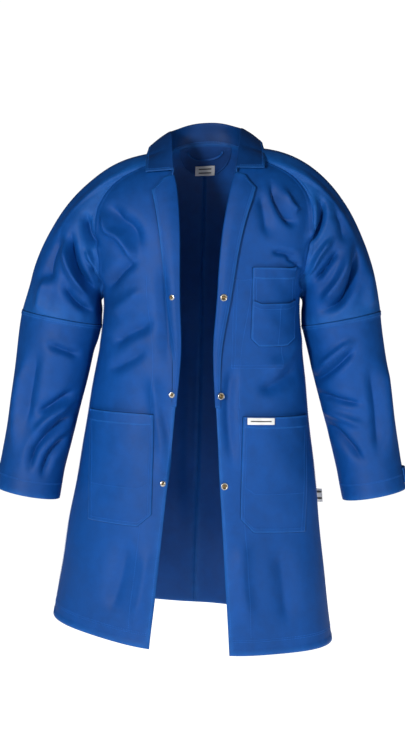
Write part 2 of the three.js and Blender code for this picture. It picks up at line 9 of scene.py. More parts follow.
import bpy
import numpy as np
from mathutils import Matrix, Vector


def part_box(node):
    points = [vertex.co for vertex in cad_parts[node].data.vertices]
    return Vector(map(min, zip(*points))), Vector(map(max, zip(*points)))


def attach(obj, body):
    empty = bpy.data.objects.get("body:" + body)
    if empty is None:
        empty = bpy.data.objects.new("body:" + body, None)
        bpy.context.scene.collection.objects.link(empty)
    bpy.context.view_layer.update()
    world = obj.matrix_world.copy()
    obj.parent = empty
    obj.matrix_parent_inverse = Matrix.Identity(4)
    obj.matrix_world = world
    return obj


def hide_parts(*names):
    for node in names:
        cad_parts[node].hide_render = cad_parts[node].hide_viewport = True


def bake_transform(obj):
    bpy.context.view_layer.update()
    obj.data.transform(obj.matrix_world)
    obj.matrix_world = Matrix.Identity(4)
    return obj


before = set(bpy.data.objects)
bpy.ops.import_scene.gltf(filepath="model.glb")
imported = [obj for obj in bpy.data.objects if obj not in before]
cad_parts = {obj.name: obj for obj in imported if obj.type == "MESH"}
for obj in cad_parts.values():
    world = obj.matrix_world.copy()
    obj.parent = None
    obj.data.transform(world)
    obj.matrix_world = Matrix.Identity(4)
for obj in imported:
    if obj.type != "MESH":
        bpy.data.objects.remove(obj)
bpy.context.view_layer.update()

# ---------------------------------------------------------------- driving sizes

CLOTH = 0.0013
NECK_HALF_WIDTH, NECK_HALF_DEPTH = 0.078, 0.062
CHEST_HALF_WIDTH, CHEST_HALF_DEPTH = 0.236, 0.135
ARMPIT_HALF_WIDTH = 0.194
WAIST_HALF_WIDTH, WAIST_HALF_DEPTH = 0.201, 0.146
HEM_HALF_WIDTH, HEM_HALF_DEPTH = 0.272, 0.178
SECTION_POWER = 2.6
ARMPIT_Z, WAIST_Z, HEM_Z = -0.292, -0.400, -0.940
FRONT_DIP = 0.023
BACK_RISE = 0.018
GORGE_Z, GORGE_X = -0.054, 0.061
NECK_SEAM_Z, BACK_SEAM_ANGLE, CHEST_SEAM_ANGLE = -0.012, 50, 60
OPENING = [
    (0.0, NECK_HALF_WIDTH), (GORGE_Z, GORGE_X), (-0.100, 0.052), (-0.180, 0.043), (-0.300, 0.038),
    (WAIST_Z, 0.033), (-0.600, 0.046), (-0.700, 0.054), (HEM_Z - FRONT_DIP, 0.075),
]
OPENING_SHIFT = 0.006

ARM_LEAN = math.radians(10.8)
ARM_RING = np.array([0.279, 0.0, -0.335])
SLEEVE_LENGTH, ELBOW_AT = 0.353, 0.155
ARM_RADIUS, ELBOW_RADIUS, CUFF_RADIUS = 0.079, 0.070, 0.063
SLEEVE_DEPTH, FOREARM_REACH = 1.04, 0.018

LEAN, LEAN_PER_HEIGHT = 0.006, 0.0255
TILT, TILT_PER_HEIGHT = 0.04, 0.133

SIDES = ((1, "left"), (-1, "right"))

# ---------------------------------------------------------------- small maths


def clamp(t):
    return np.clip(t, 0.0, 1.0)


def ease(t):
    t = clamp(t)
    return t * t * (3 - 2 * t)


def mix(a, b, t):
    return a + (b - a) * t


def through(stations, place):
    """A smooth value through (place, value) stations whose places fall."""
    x = np.array([s[0] for s in stations])[::-1]
    y = np.array([s[1] for s in stations])[::-1]
    slope = np.empty_like(y)
    slope[1:-1] = (y[2:] - y[:-2]) / (x[2:] - x[:-2])
    slope[0] = (y[1] - y[0]) / (x[1] - x[0])
    slope[-1] = (y[-1] - y[-2]) / (x[-1] - x[-2])
    p = np.clip(place, x[0], x[-1])
    i = np.clip(np.searchsorted(x, p) - 1, 0, len(x) - 2)
    h = x[i + 1] - x[i]
    t = (p - x[i]) / h
    rise = y[i + 1] - y[i]
    start, end = slope[i] * h, slope[i + 1] * h
    return y[i] + t * start + t * t * (3 * rise - 2 * start - end) + t**3 * (start + end - 2 * rise)


def unit(v):
    return v / np.maximum(np.linalg.norm(v, axis=-1, keepdims=True), 1e-12)


def points(x, y, z):
    return np.stack(np.broadcast_arrays(x, y, z), -1).astype(float)


def worn(p, side, on_arm=False):
    """A point of the straight coat's left side, where it hangs on that side of the worn coat. The body
    goes on leaning below the mid-arm seams, and the sleeves hang straight."""
    x = side * p[..., 0]
    z = p[..., 2]
    leans = np.maximum(z, ARM_RING[2]) if on_arm else z
    return points(x + LEAN + LEAN_PER_HEIGHT * leans, p[..., 1], z + (TILT + TILT_PER_HEIGHT * leans) * x)


# ---------------------------------------------------------------- forms


WIDTHS = [
    (0.030, NECK_HALF_WIDTH - 0.006), (0.0, NECK_HALF_WIDTH),
    (-0.030, mix(NECK_HALF_WIDTH, CHEST_HALF_WIDTH, 0.40)),
    (-0.055, mix(NECK_HALF_WIDTH, CHEST_HALF_WIDTH, 0.68)),
    (-0.100, mix(NECK_HALF_WIDTH, CHEST_HALF_WIDTH, 0.94)),
    (-0.160, CHEST_HALF_WIDTH),
    (-0.220, mix(ARMPIT_HALF_WIDTH, CHEST_HALF_WIDTH, 0.72)),
    (ARMPIT_Z, ARMPIT_HALF_WIDTH), (WAIST_Z, WAIST_HALF_WIDTH),
]
DEPTHS = [
    (0.030, NECK_HALF_DEPTH - 0.004), (0.0, NECK_HALF_DEPTH),
    (-0.030, mix(NECK_HALF_DEPTH, CHEST_HALF_DEPTH, 0.36)),
    (-0.055, mix(NECK_HALF_DEPTH, CHEST_HALF_DEPTH, 0.56)),
    (-0.100, mix(NECK_HALF_DEPTH, CHEST_HALF_DEPTH, 0.80)),
    (-0.160, CHEST_HALF_DEPTH),
    (-0.220, mix(CHEST_HALF_DEPTH, WAIST_HALF_DEPTH, 0.6)),
    (ARMPIT_Z, WAIST_HALF_DEPTH), (WAIST_Z, WAIST_HALF_DEPTH),
]


def below_waist(z):
    return (WAIST_Z - z) / (WAIST_Z - HEM_Z)


def half_width(z):
    return np.where(z > WAIST_Z, through(WIDTHS, z), mix(WAIST_HALF_WIDTH, HEM_HALF_WIDTH, below_waist(z)))


def half_depth(z):
    return np.where(z > WAIST_Z, through(DEPTHS, z), mix(WAIST_HALF_DEPTH, HEM_HALF_DEPTH, below_waist(z)))


def torso(angle, z):
    """Angle 0 is the centre front, 90 the side, 180 the centre back."""
    a = np.radians(angle)
    power = 2 / SECTION_POWER
    across, along = np.abs(np.sin(a)), np.cos(a)
    return points(
        half_width(z) * across**power, -half_depth(z) * np.sign(along) * np.abs(along) ** power, z
    )


def angle_at(x, z):
    return np.degrees(np.arcsin(clamp(x / half_width(z)) ** (SECTION_POWER / 2)))


def neck_rise(angle_from_back):
    return BACK_RISE * ease(1 - angle_from_back / 90)


def seam_angle(z, start_angle, start_z):
    """Where a raglan seam lies on the torso, in degrees from the centre line."""
    rise = (CHEST_SEAM_ANGLE - start_angle) * ease((start_z - z) / 0.055)
    sweep = clamp((ARMPIT_Z + 0.092 - z) / 0.092)
    return start_angle + rise + (90 - CHEST_SEAM_ANGLE) * sweep**2


def front_outer(z):
    start = angle_at(NECK_HALF_WIDTH, NECK_SEAM_Z)
    return np.where(z <= ARMPIT_Z, 90.0, seam_angle(z, start, NECK_SEAM_Z))


def back_outer(z):
    return np.where(z <= ARMPIT_Z, 90.0, seam_angle(z, BACK_SEAM_ANGLE, neck_rise(BACK_SEAM_ANGLE)))


def front_edge(side, z):
    return through(OPENING, z) - side * OPENING_SHIFT * ease(z / -0.26)


ARM_DOWN = np.array([math.sin(ARM_LEAN), 0.0, -math.cos(ARM_LEAN)])
ARM_OUT = np.array([math.cos(ARM_LEAN), 0.0, math.sin(ARM_LEAN)])
ARM_FRONT = np.array([0.0, -1.0, 0.0])


def sleeve(angle, s):
    """A point of the lower sleeve: angle 0 is its outer side, 90 its front; s runs down from mid-arm."""
    s = np.asarray(s, float)
    past = clamp((s - ELBOW_AT) / (SLEEVE_LENGTH - ELBOW_AT))
    r = np.where(
        s < ELBOW_AT,
        mix(ARM_RADIUS, ELBOW_RADIUS, s / ELBOW_AT),
        mix(ELBOW_RADIUS, CUFF_RADIUS, clamp(past * 1.4)),
    )
    a = np.radians(angle)
    centre = ARM_RING + s[..., None] * ARM_DOWN + (FOREARM_REACH * past**2)[..., None] * ARM_FRONT
    return (
        centre
        + (r * np.cos(a))[..., None] * ARM_OUT
        + (r * SLEEVE_DEPTH * np.sin(a))[..., None] * ARM_FRONT
    )


# ---------------------------------------------------------------- panel grids

SKIRT_ROWS, YOKE_ROWS, NECK_COLS = 60, 27, 3
ACROSS, RAGLAN_ROWS, SLEEVE_ROWS = 26, 30, 36
HALF_TURN = YOKE_ROWS + NECK_COLS


def rows_between(low, top):
    """Row heights from the hem to the armpit and on to the top edge, for each column."""
    skirt = np.linspace(0, 1, SKIRT_ROWS + 1)
    yoke = np.linspace(0, 1, YOKE_ROWS + 1)[1:]
    below = mix(low[:, None], ARMPIT_Z, skirt[None, :])
    above = mix(ARMPIT_Z, top[:, None], yoke[None, :])
    return np.concatenate([below, above], 1)


def front_grid(side):
    u = np.linspace(0, 1, ACROSS + 1)
    z = rows_between(HEM_Z - FRONT_DIP * (1 - u), np.full_like(u, NECK_SEAM_Z))
    start = angle_at(front_edge(side, z), z)
    return worn(torso(mix(start, front_outer(z), u[:, None]), z), side)


def back_grid(side):
    u = np.linspace(0, 1, ACROSS + 1)
    z = rows_between(np.full_like(u, HEM_Z), neck_rise(u * BACK_SEAM_ANGLE))
    return worn(torso(180 - u[:, None] * back_outer(z), z), side)


def raglan_edge():
    """The sleeve's upper edge, once around from the neck point, down the front and up the back."""
    neck = np.linspace(0, 1, NECK_COLS + 1)[:-1]
    seam = np.linspace(0, 1, YOKE_ROWS + 1)
    front_neck = torso(angle_at(NECK_HALF_WIDTH, NECK_SEAM_Z * neck), NECK_SEAM_Z * neck)
    z = mix(NECK_SEAM_Z, ARMPIT_Z, seam)
    front = torso(front_outer(z), z)
    front[-1] = torso(90.0, np.array(ARMPIT_Z))
    from_back = 90 - (90 - BACK_SEAM_ANGLE) * neck
    back_neck = torso(180 - from_back, neck_rise(from_back))
    z = mix(neck_rise(BACK_SEAM_ANGLE), ARMPIT_Z, seam)
    back = torso(180 - back_outer(z), z)
    return np.concatenate([front_neck, front, back[-2::-1], back_neck[:0:-1]])


def raglan_grid(side):
    edge = raglan_edge()
    turns = 2 * HALF_TURN
    c = np.arange(turns)
    half = np.where(c <= HALF_TURN, c, turns - c) / HALF_TURN
    faces = np.where(c <= HALF_TURN, 1.0, -1.0)
    under, over = ease((half - 0.62) / 0.38), 1 - ease(half / 0.45)
    ring = sleeve(faces * 180 * half, np.zeros(turns))
    reach = np.linalg.norm(ring - edge, axis=1)[:, None]
    drop = mix(mix(-0.55, -0.1, under), -0.02, over)
    leave = unit(points(1.0, -0.18 * faces * (1 - over) * (1 - under), drop))
    a = edge + leave * reach * mix(mix(0.36, 0.24, under), 0.43, over)[:, None]
    b = ring - ARM_DOWN * reach * mix(0.36, 0.35, over)[:, None]
    t = np.linspace(0, 1, RAGLAN_ROWS + 1)[None, :, None]
    e, a, b, r = edge[:, None], a[:, None], b[:, None], ring[:, None]
    curve = (1 - t) ** 3 * e + 3 * t * (1 - t) ** 2 * a + 3 * t * t * (1 - t) * b + t**3 * r
    return worn(curve, side, True)


def sleeve_grid(side):
    c = np.arange(2 * HALF_TURN)
    angle = c / HALF_TURN * 180
    s = np.linspace(0, SLEEVE_LENGTH, SLEEVE_ROWS + 1)
    return worn(sleeve(angle[:, None] + 0 * s[None, :], s[None, :] + 0 * angle[:, None]), side, True)


# ---------------------------------------------------------------- refined skins


def refine_axis(p, k, wrap):
    """k times finer along the first axis, through the points, by Catmull-Rom."""
    n = len(p)
    if wrap:
        q = np.concatenate([p[-1:], p, p[:2]])
        spans = n
    else:
        q = np.concatenate([2 * p[:1] - p[1:2], p, 2 * p[-1:] - p[-2:-1]])
        spans = n - 1
    i = np.arange(spans * k + (0 if wrap else 1))
    j = np.minimum(i // k, spans - 1)
    t = ((i - j * k) / k).reshape(-1, *([1] * (p.ndim - 1)))
    p0, p1, p2, p3 = q[j], q[j + 1], q[j + 2], q[j + 3]
    return 0.5 * (
        2 * p1 + (p2 - p0) * t + (2 * p0 - 5 * p1 + 4 * p2 - p3) * t**2 + (3 * p1 - p0 - 3 * p2 + p3) * t**3
    )


def refine(p, k, wrap=False):
    across = refine_axis(p, k, wrap)
    return np.swapaxes(refine_axis(np.swapaxes(across, 0, 1), k, False), 0, 1)


class Skin:
    """A panel's surface: points, outward normals, and lookup by u across and v along, both 0 to 1."""

    def __init__(self, p, wrap=False, outward=1.0):
        self.p, self.wrap = p, wrap
        q = np.concatenate([p[-1:], p, p[:1]]) if wrap else p
        du = np.gradient(q, axis=0)
        dv = np.gradient(q, axis=1)
        if wrap:
            du, dv = du[1:-1], dv[1:-1]
        self.n = unit(np.cross(du, dv)) * outward

    def at(self, u, v, height=0.0):
        nu, nv = self.p.shape[:2]
        u = np.asarray(u, float)
        v = np.asarray(v, float)
        spans = nu if self.wrap else nu - 1
        x = (u % 1.0) * spans if self.wrap else np.clip(u, -0.02, 1.02) * spans
        y = np.clip(v, -0.02, 1.02) * (nv - 1)
        i = np.clip(np.floor(x).astype(int), 0, spans - 1)
        j = np.clip(np.floor(y).astype(int), 0, nv - 2)
        s, t = (x - i)[..., None], (y - j)[..., None]
        i2 = (i + 1) % nu

        def look(a):
            near, far = a[i, j] * (1 - s) + a[i2, j] * s, a[i, j + 1] * (1 - s) + a[i2, j + 1] * s
            return near * (1 - t) + far * t

        h = np.asarray(height, float)
        return look(self.p) + unit(look(self.n)) * (h[..., None] if h.ndim else h)


# ---------------------------------------------------------------- mesh building


def arc_uv(p):
    """Texture coordinates in metres along the cloth."""
    u = np.concatenate([[0], np.cumsum(np.linalg.norm(np.diff(p[:, p.shape[1] // 2], axis=0), axis=1))])
    v = np.concatenate([[0], np.cumsum(np.linalg.norm(np.diff(p[p.shape[0] // 2], axis=0), axis=1))])
    return u, v


def make(name, verts, faces, material, uvs=None, wear=None):
    mesh = bpy.data.meshes.new(name)
    mesh.from_pydata(verts.reshape(-1, 3).tolist(), [], faces)
    mesh.polygons.foreach_set("use_smooth", [True] * len(mesh.polygons))
    if uvs is not None:
        layer = mesh.uv_layers.new(name="cloth")
        loops = np.empty(len(mesh.loops), int)
        mesh.loops.foreach_get("vertex_index", loops)
        layer.data.foreach_set("uv", uvs.reshape(-1, 2)[loops].ravel())
    if wear is not None:
        attribute = mesh.attributes.new("wear", "FLOAT", "POINT")
        attribute.data.foreach_set("value", wear.ravel().astype(np.float32))
    mesh.materials.append(material)
    mesh.update()
    obj = bpy.data.objects.new(name, mesh)
    bpy.context.scene.collection.objects.link(obj)
    return obj


def slab(name, outer, inner, material, wrap=False, edge_wear=0.012):
    """A closed sheet between two grids of the same shape."""
    nu, nv = outer.shape[:2]
    index = np.arange(nu * nv).reshape(nu, nv)
    if wrap:
        index = np.concatenate([index, index[:1]])
    a, b, c, d = index[:-1, :-1], index[1:, :-1], index[1:, 1:], index[:-1, 1:]
    top = np.stack([a, b, c, d], -1).reshape(-1, 4)
    bottom = top[:, ::-1] + nu * nv
    faces = [top, bottom]
    rims = [index[:, 0], index[::-1, -1]]
    if not wrap:
        rims += [index[-1, :], index[::-1][-1, ::-1]]
    for rim in rims:
        p, q = rim[:-1], rim[1:]
        faces.append(np.stack([q, p, p + nu * nv, q + nu * nv], -1))
    faces = np.concatenate(faces)
    u, v = arc_uv(outer)
    uv = np.stack(np.meshgrid(u, v, indexing="ij"), -1)
    # Paler towards each panel's edges: partly wear, partly a painted highlight along the edges.
    near_v = np.minimum(v, v[-1] - v)[None, :] + 0 * u[:, None]
    near_u = np.minimum(u, u[-1] - u)[:, None] + 0 * v[None, :]
    near = near_v if wrap else np.minimum(near_u, near_v)
    wear = np.clip(1 - near / edge_wear, 0, 1)
    verts = np.concatenate([outer.reshape(-1, 3), inner.reshape(-1, 3)])
    return make(name, verts, faces.tolist(), material, np.concatenate([uv, uv]), np.concatenate([wear, wear]))


def closed_up(obj):
    """Faces pointing out of the closed body."""
    mesh = obj.data
    n = len(mesh.vertices)
    co = np.empty(n * 3)
    mesh.vertices.foreach_get("co", co)
    co = co.reshape(-1, 3)
    mesh.calc_loop_triangles()
    tri = np.empty(len(mesh.loop_triangles) * 3, int)
    mesh.loop_triangles.foreach_get("vertices", tri)
    a, b, c = (co[tri.reshape(-1, 3)[:, i]] for i in range(3))
    if np.einsum("ij,ij->", a, np.cross(b, c)) < 0:
        mesh.flip_normals()
    return obj


def panel(name, skin, material, low=0.0, high=CLOTH, **how):
    high = np.asarray(high, float)
    outer = skin.p + skin.n * (high[..., None] if high.ndim else high)
    inner = skin.p + skin.n * low
    return closed_up(slab(name, outer, inner, material, wrap=skin.wrap, **how))


STITCH_PITCH, STITCH_LENGTH, THREAD = 0.0034, 0.0026, 0.00050


def stitches(name, runs, material, pitch=STITCH_PITCH, length=STITCH_LENGTH, thread=THREAD):
    """Rows of thread dashes. Each run is (points, normals) along the cloth's surface."""
    starts, ends, ups = [], [], []
    for path, normal in runs:
        arc = np.concatenate([[0], np.cumsum(np.linalg.norm(np.diff(path, axis=0), axis=1))])
        count = max(1, int(arc[-1] / pitch))
        mid = (np.arange(count) + 0.5) * arc[-1] / count
        starts.append(np.stack([np.interp(mid - length / 2, arc, path[:, k]) for k in range(3)], -1))
        ends.append(np.stack([np.interp(mid + length / 2, arc, path[:, k]) for k in range(3)], -1))
        ups.append(np.stack([np.interp(mid, arc, normal[:, k]) for k in range(3)], -1))
    p, q, n = np.concatenate(starts), np.concatenate(ends), np.concatenate(ups)
    along = unit(q - p)
    n = unit(n - along * np.sum(n * along, -1, keepdims=True))
    across = np.cross(along, n)
    verts = [p]
    for t in (0.25, 0.75):
        for x, y in ((-1, 0.0), (0, 1.0), (1, 0.0), (0, -0.6)):
            verts.append(mix(p, q, t) + across * x * thread + n * y * thread)
    verts.append(q)
    shape = []
    for k in range(4):
        m = (k + 1) % 4
        shape += [[0, 1 + m, 1 + k], [1 + k, 1 + m, 5 + m], [1 + k, 5 + m, 5 + k], [9, 5 + k, 5 + m]]
    faces = (np.array(shape)[None] + 10 * np.arange(len(p))[:, None, None]).reshape(-1, 3)
    return closed_up(make(name, np.stack(verts, 1), faces.tolist(), material))


def painted_shadow_line(name, runs):
    """A thin dark line of painted shadow, laid where the edge of a piece meets the cloth under it."""
    return stitches(name, runs, painted_shadow, pitch=0.004, length=0.0041, thread=0.00065)


# ---------------------------------------------------------------- materials


def node(tree, kind, **values):
    made = tree.nodes.new(kind)
    for key, value in values.items():
        if key.startswith("in_"):
            made.inputs[key[3:].replace("_", " ")].default_value = value
        else:
            setattr(made, key, value)
    return made


def twill(name, colour, light, roughness=0.56, sheen=0.0, weave=0.16):
    """Polycotton twill: diagonal weave, mottled dye, paler edges that are partly wear and partly painted
    highlight, and a soft satin gloss.
    """
    material = bpy.data.materials.new(name)
    material.use_nodes = True
    tree = material.node_tree
    bsdf = tree.nodes["Principled BSDF"]
    link = tree.links.new
    where = node(tree, "ShaderNodeTexCoord")
    uv = where.outputs["UV"]
    position = where.outputs["Object"]

    mottle = node(tree, "ShaderNodeTexNoise", in_Scale=55.0, in_Detail=6.0, in_Roughness=0.6)
    link(position, mottle.inputs["Vector"])
    cloud = node(tree, "ShaderNodeTexNoise", in_Scale=7.0, in_Detail=3.0, in_Roughness=0.5)
    link(position, cloud.inputs["Vector"])
    tone = node(tree, "ShaderNodeMath", operation="MULTIPLY_ADD")
    tone.inputs[1].default_value = 0.5
    link(mottle.outputs["Fac"], tone.inputs[0])
    half_cloud = node(tree, "ShaderNodeMath", operation="MULTIPLY")
    half_cloud.inputs[1].default_value = 0.5
    link(cloud.outputs["Fac"], half_cloud.inputs[0])
    link(half_cloud.outputs[0], tone.inputs[2])
    shade = node(tree, "ShaderNodeValToRGB")
    ramp = shade.color_ramp
    ramp.elements[0].position, ramp.elements[1].position = 0.36, 0.64
    ramp.elements[0].color = (*[c * 0.84 for c in colour], 1)
    ramp.elements[1].color = (*[c * 1.13 for c in colour], 1)
    link(tone.outputs[0], shade.inputs["Fac"])

    # Patchy paler colour at the edges: partly wear, partly painted highlight.
    pale_edge_mask = node(tree, "ShaderNodeAttribute", attribute_name="wear")
    patchy = node(tree, "ShaderNodeMath", operation="MULTIPLY")
    link(pale_edge_mask.outputs["Fac"], patchy.inputs[0])
    link(mottle.outputs["Fac"], patchy.inputs[1])
    worn_and_highlit = node(tree, "ShaderNodeMix", data_type="RGBA")
    worn_and_highlit.inputs[7].default_value = (*light, 1)
    link(patchy.outputs[0], worn_and_highlit.inputs[0])
    link(shade.outputs["Color"], worn_and_highlit.inputs[6])
    link(worn_and_highlit.outputs[2], bsdf.inputs["Base Color"])

    ribs = node(
        tree, "ShaderNodeTexWave", wave_type="BANDS", bands_direction="DIAGONAL",
        in_Scale=420.0, in_Distortion=0.6, in_Detail=1.0,
    )
    link(uv, ribs.inputs["Vector"])
    crumple = node(tree, "ShaderNodeTexNoise", in_Scale=34.0, in_Detail=4.0, in_Roughness=0.55)
    link(position, crumple.inputs["Vector"])
    height = node(tree, "ShaderNodeMath", operation="MULTIPLY_ADD")
    height.inputs[1].default_value = weave
    link(ribs.outputs["Fac"], height.inputs[0])
    link(crumple.outputs["Fac"], height.inputs[2])
    bump = node(tree, "ShaderNodeBump", in_Strength=0.22, in_Distance=0.0012)
    link(height.outputs[0], bump.inputs["Height"])
    link(bump.outputs["Normal"], bsdf.inputs["Normal"])

    gloss = node(tree, "ShaderNodeMapRange")
    gloss.inputs["To Min"].default_value = roughness - 0.06
    gloss.inputs["To Max"].default_value = roughness + 0.08
    link(mottle.outputs["Fac"], gloss.inputs["Value"])
    link(gloss.outputs[0], bsdf.inputs["Roughness"])
    bsdf.inputs["Specular IOR Level"].default_value = 0.22
    bsdf.inputs["Sheen Weight"].default_value = sheen
    bsdf.inputs["Sheen Roughness"].default_value = 0.45
    bsdf.inputs["Sheen Tint"].default_value = (0.35, 0.55, 1.0, 1)
    return material


def metal(name, colour, roughness):
    material = bpy.data.materials.new(name)
    material.use_nodes = True
    tree = material.node_tree
    bsdf = tree.nodes["Principled BSDF"]
    spots = node(tree, "ShaderNodeTexNoise", in_Scale=900.0, in_Detail=3.0)
    link = tree.links.new
    link(node(tree, "ShaderNodeTexCoord").outputs["Object"], spots.inputs["Vector"])
    ramp = node(tree, "ShaderNodeValToRGB")
    ramp.color_ramp.elements[0].color = (*[c * 0.7 for c in colour], 1)
    ramp.color_ramp.elements[1].color = (*colour, 1)
    link(spots.outputs["Fac"], ramp.inputs["Fac"])
    link(ramp.outputs["Color"], bsdf.inputs["Base Color"])
    rough = node(tree, "ShaderNodeMapRange")
    rough.inputs["To Min"].default_value = roughness - 0.08
    rough.inputs["To Max"].default_value = roughness + 0.12
    link(spots.outputs["Fac"], rough.inputs["Value"])
    link(rough.outputs[0], bsdf.inputs["Roughness"])
    bsdf.inputs["Metallic"].default_value = 1.0
    return material


BLUE = (0.0010, 0.060, 0.272)
# BLUE_LIGHT is the paler blue of the edges: partly wear, partly painted highlight.
BLUE_LIGHT = (0.008, 0.110, 0.400)
cloth = twill("royal_twill", BLUE, BLUE_LIGHT)
cloth_inside = twill("twill_wrong_side", (0.004, 0.045, 0.20), BLUE_LIGHT, roughness=0.75, sheen=0.1)
# The collar's blue is darkened to 0.62 of the coat's: painted shade, for the shadow the collar stands in.
collar_painted_shade = twill("twill_collar_painted_shade", [c * 0.62 for c in BLUE], BLUE_LIGHT)
thread = twill("thread", (0.014, 0.135, 0.52), (0.03, 0.2, 0.6), roughness=0.5, sheen=0.0, weave=0.0)
# A dark blue for painted shadow lines along seams and edges, where only shade falls.
painted_shadow = twill("seam_painted_shadow", (0.0008, 0.012, 0.065), (0.001, 0.02, 0.1), roughness=0.8, sheen=0.0, weave=0.0)
label_cloth = twill("woven_label", (0.78, 0.78, 0.77), (0.9, 0.9, 0.9), roughness=0.7, sheen=0.1, weave=0.1)
label_ink = twill("woven_mark", (0.03, 0.03, 0.035), (0.1, 0.1, 0.1), roughness=0.7, sheen=0.0, weave=0.1)
nickel = metal("nickel", (0.62, 0.60, 0.55), 0.28)
brass = metal("dark_brass", (0.20, 0.14, 0.07), 0.38)

# ---------------------------------------------------------------- where pieces ride


def hang(obj, where, side=1, nodes=()):
    """Puts a piece on its body, or bakes its place into its mesh, and hides the CAD nodes it stands for."""
    if where == "body":
        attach(obj, "coat_body")
    elif where == "front":
        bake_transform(obj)
    elif where == "raglan":
        ring = worn(ARM_RING, side)
        down = worn(ARM_RING + ARM_DOWN, side, True) - ring
        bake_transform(obj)
    elif where == "sleeve":
        down = worn(ARM_RING + ARM_DOWN, side, True) - worn(ARM_RING, side)
        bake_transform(obj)
    else:
        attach(obj, where)
    if nodes:
        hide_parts(*nodes)
    return obj


# ---------------------------------------------------------------- folds

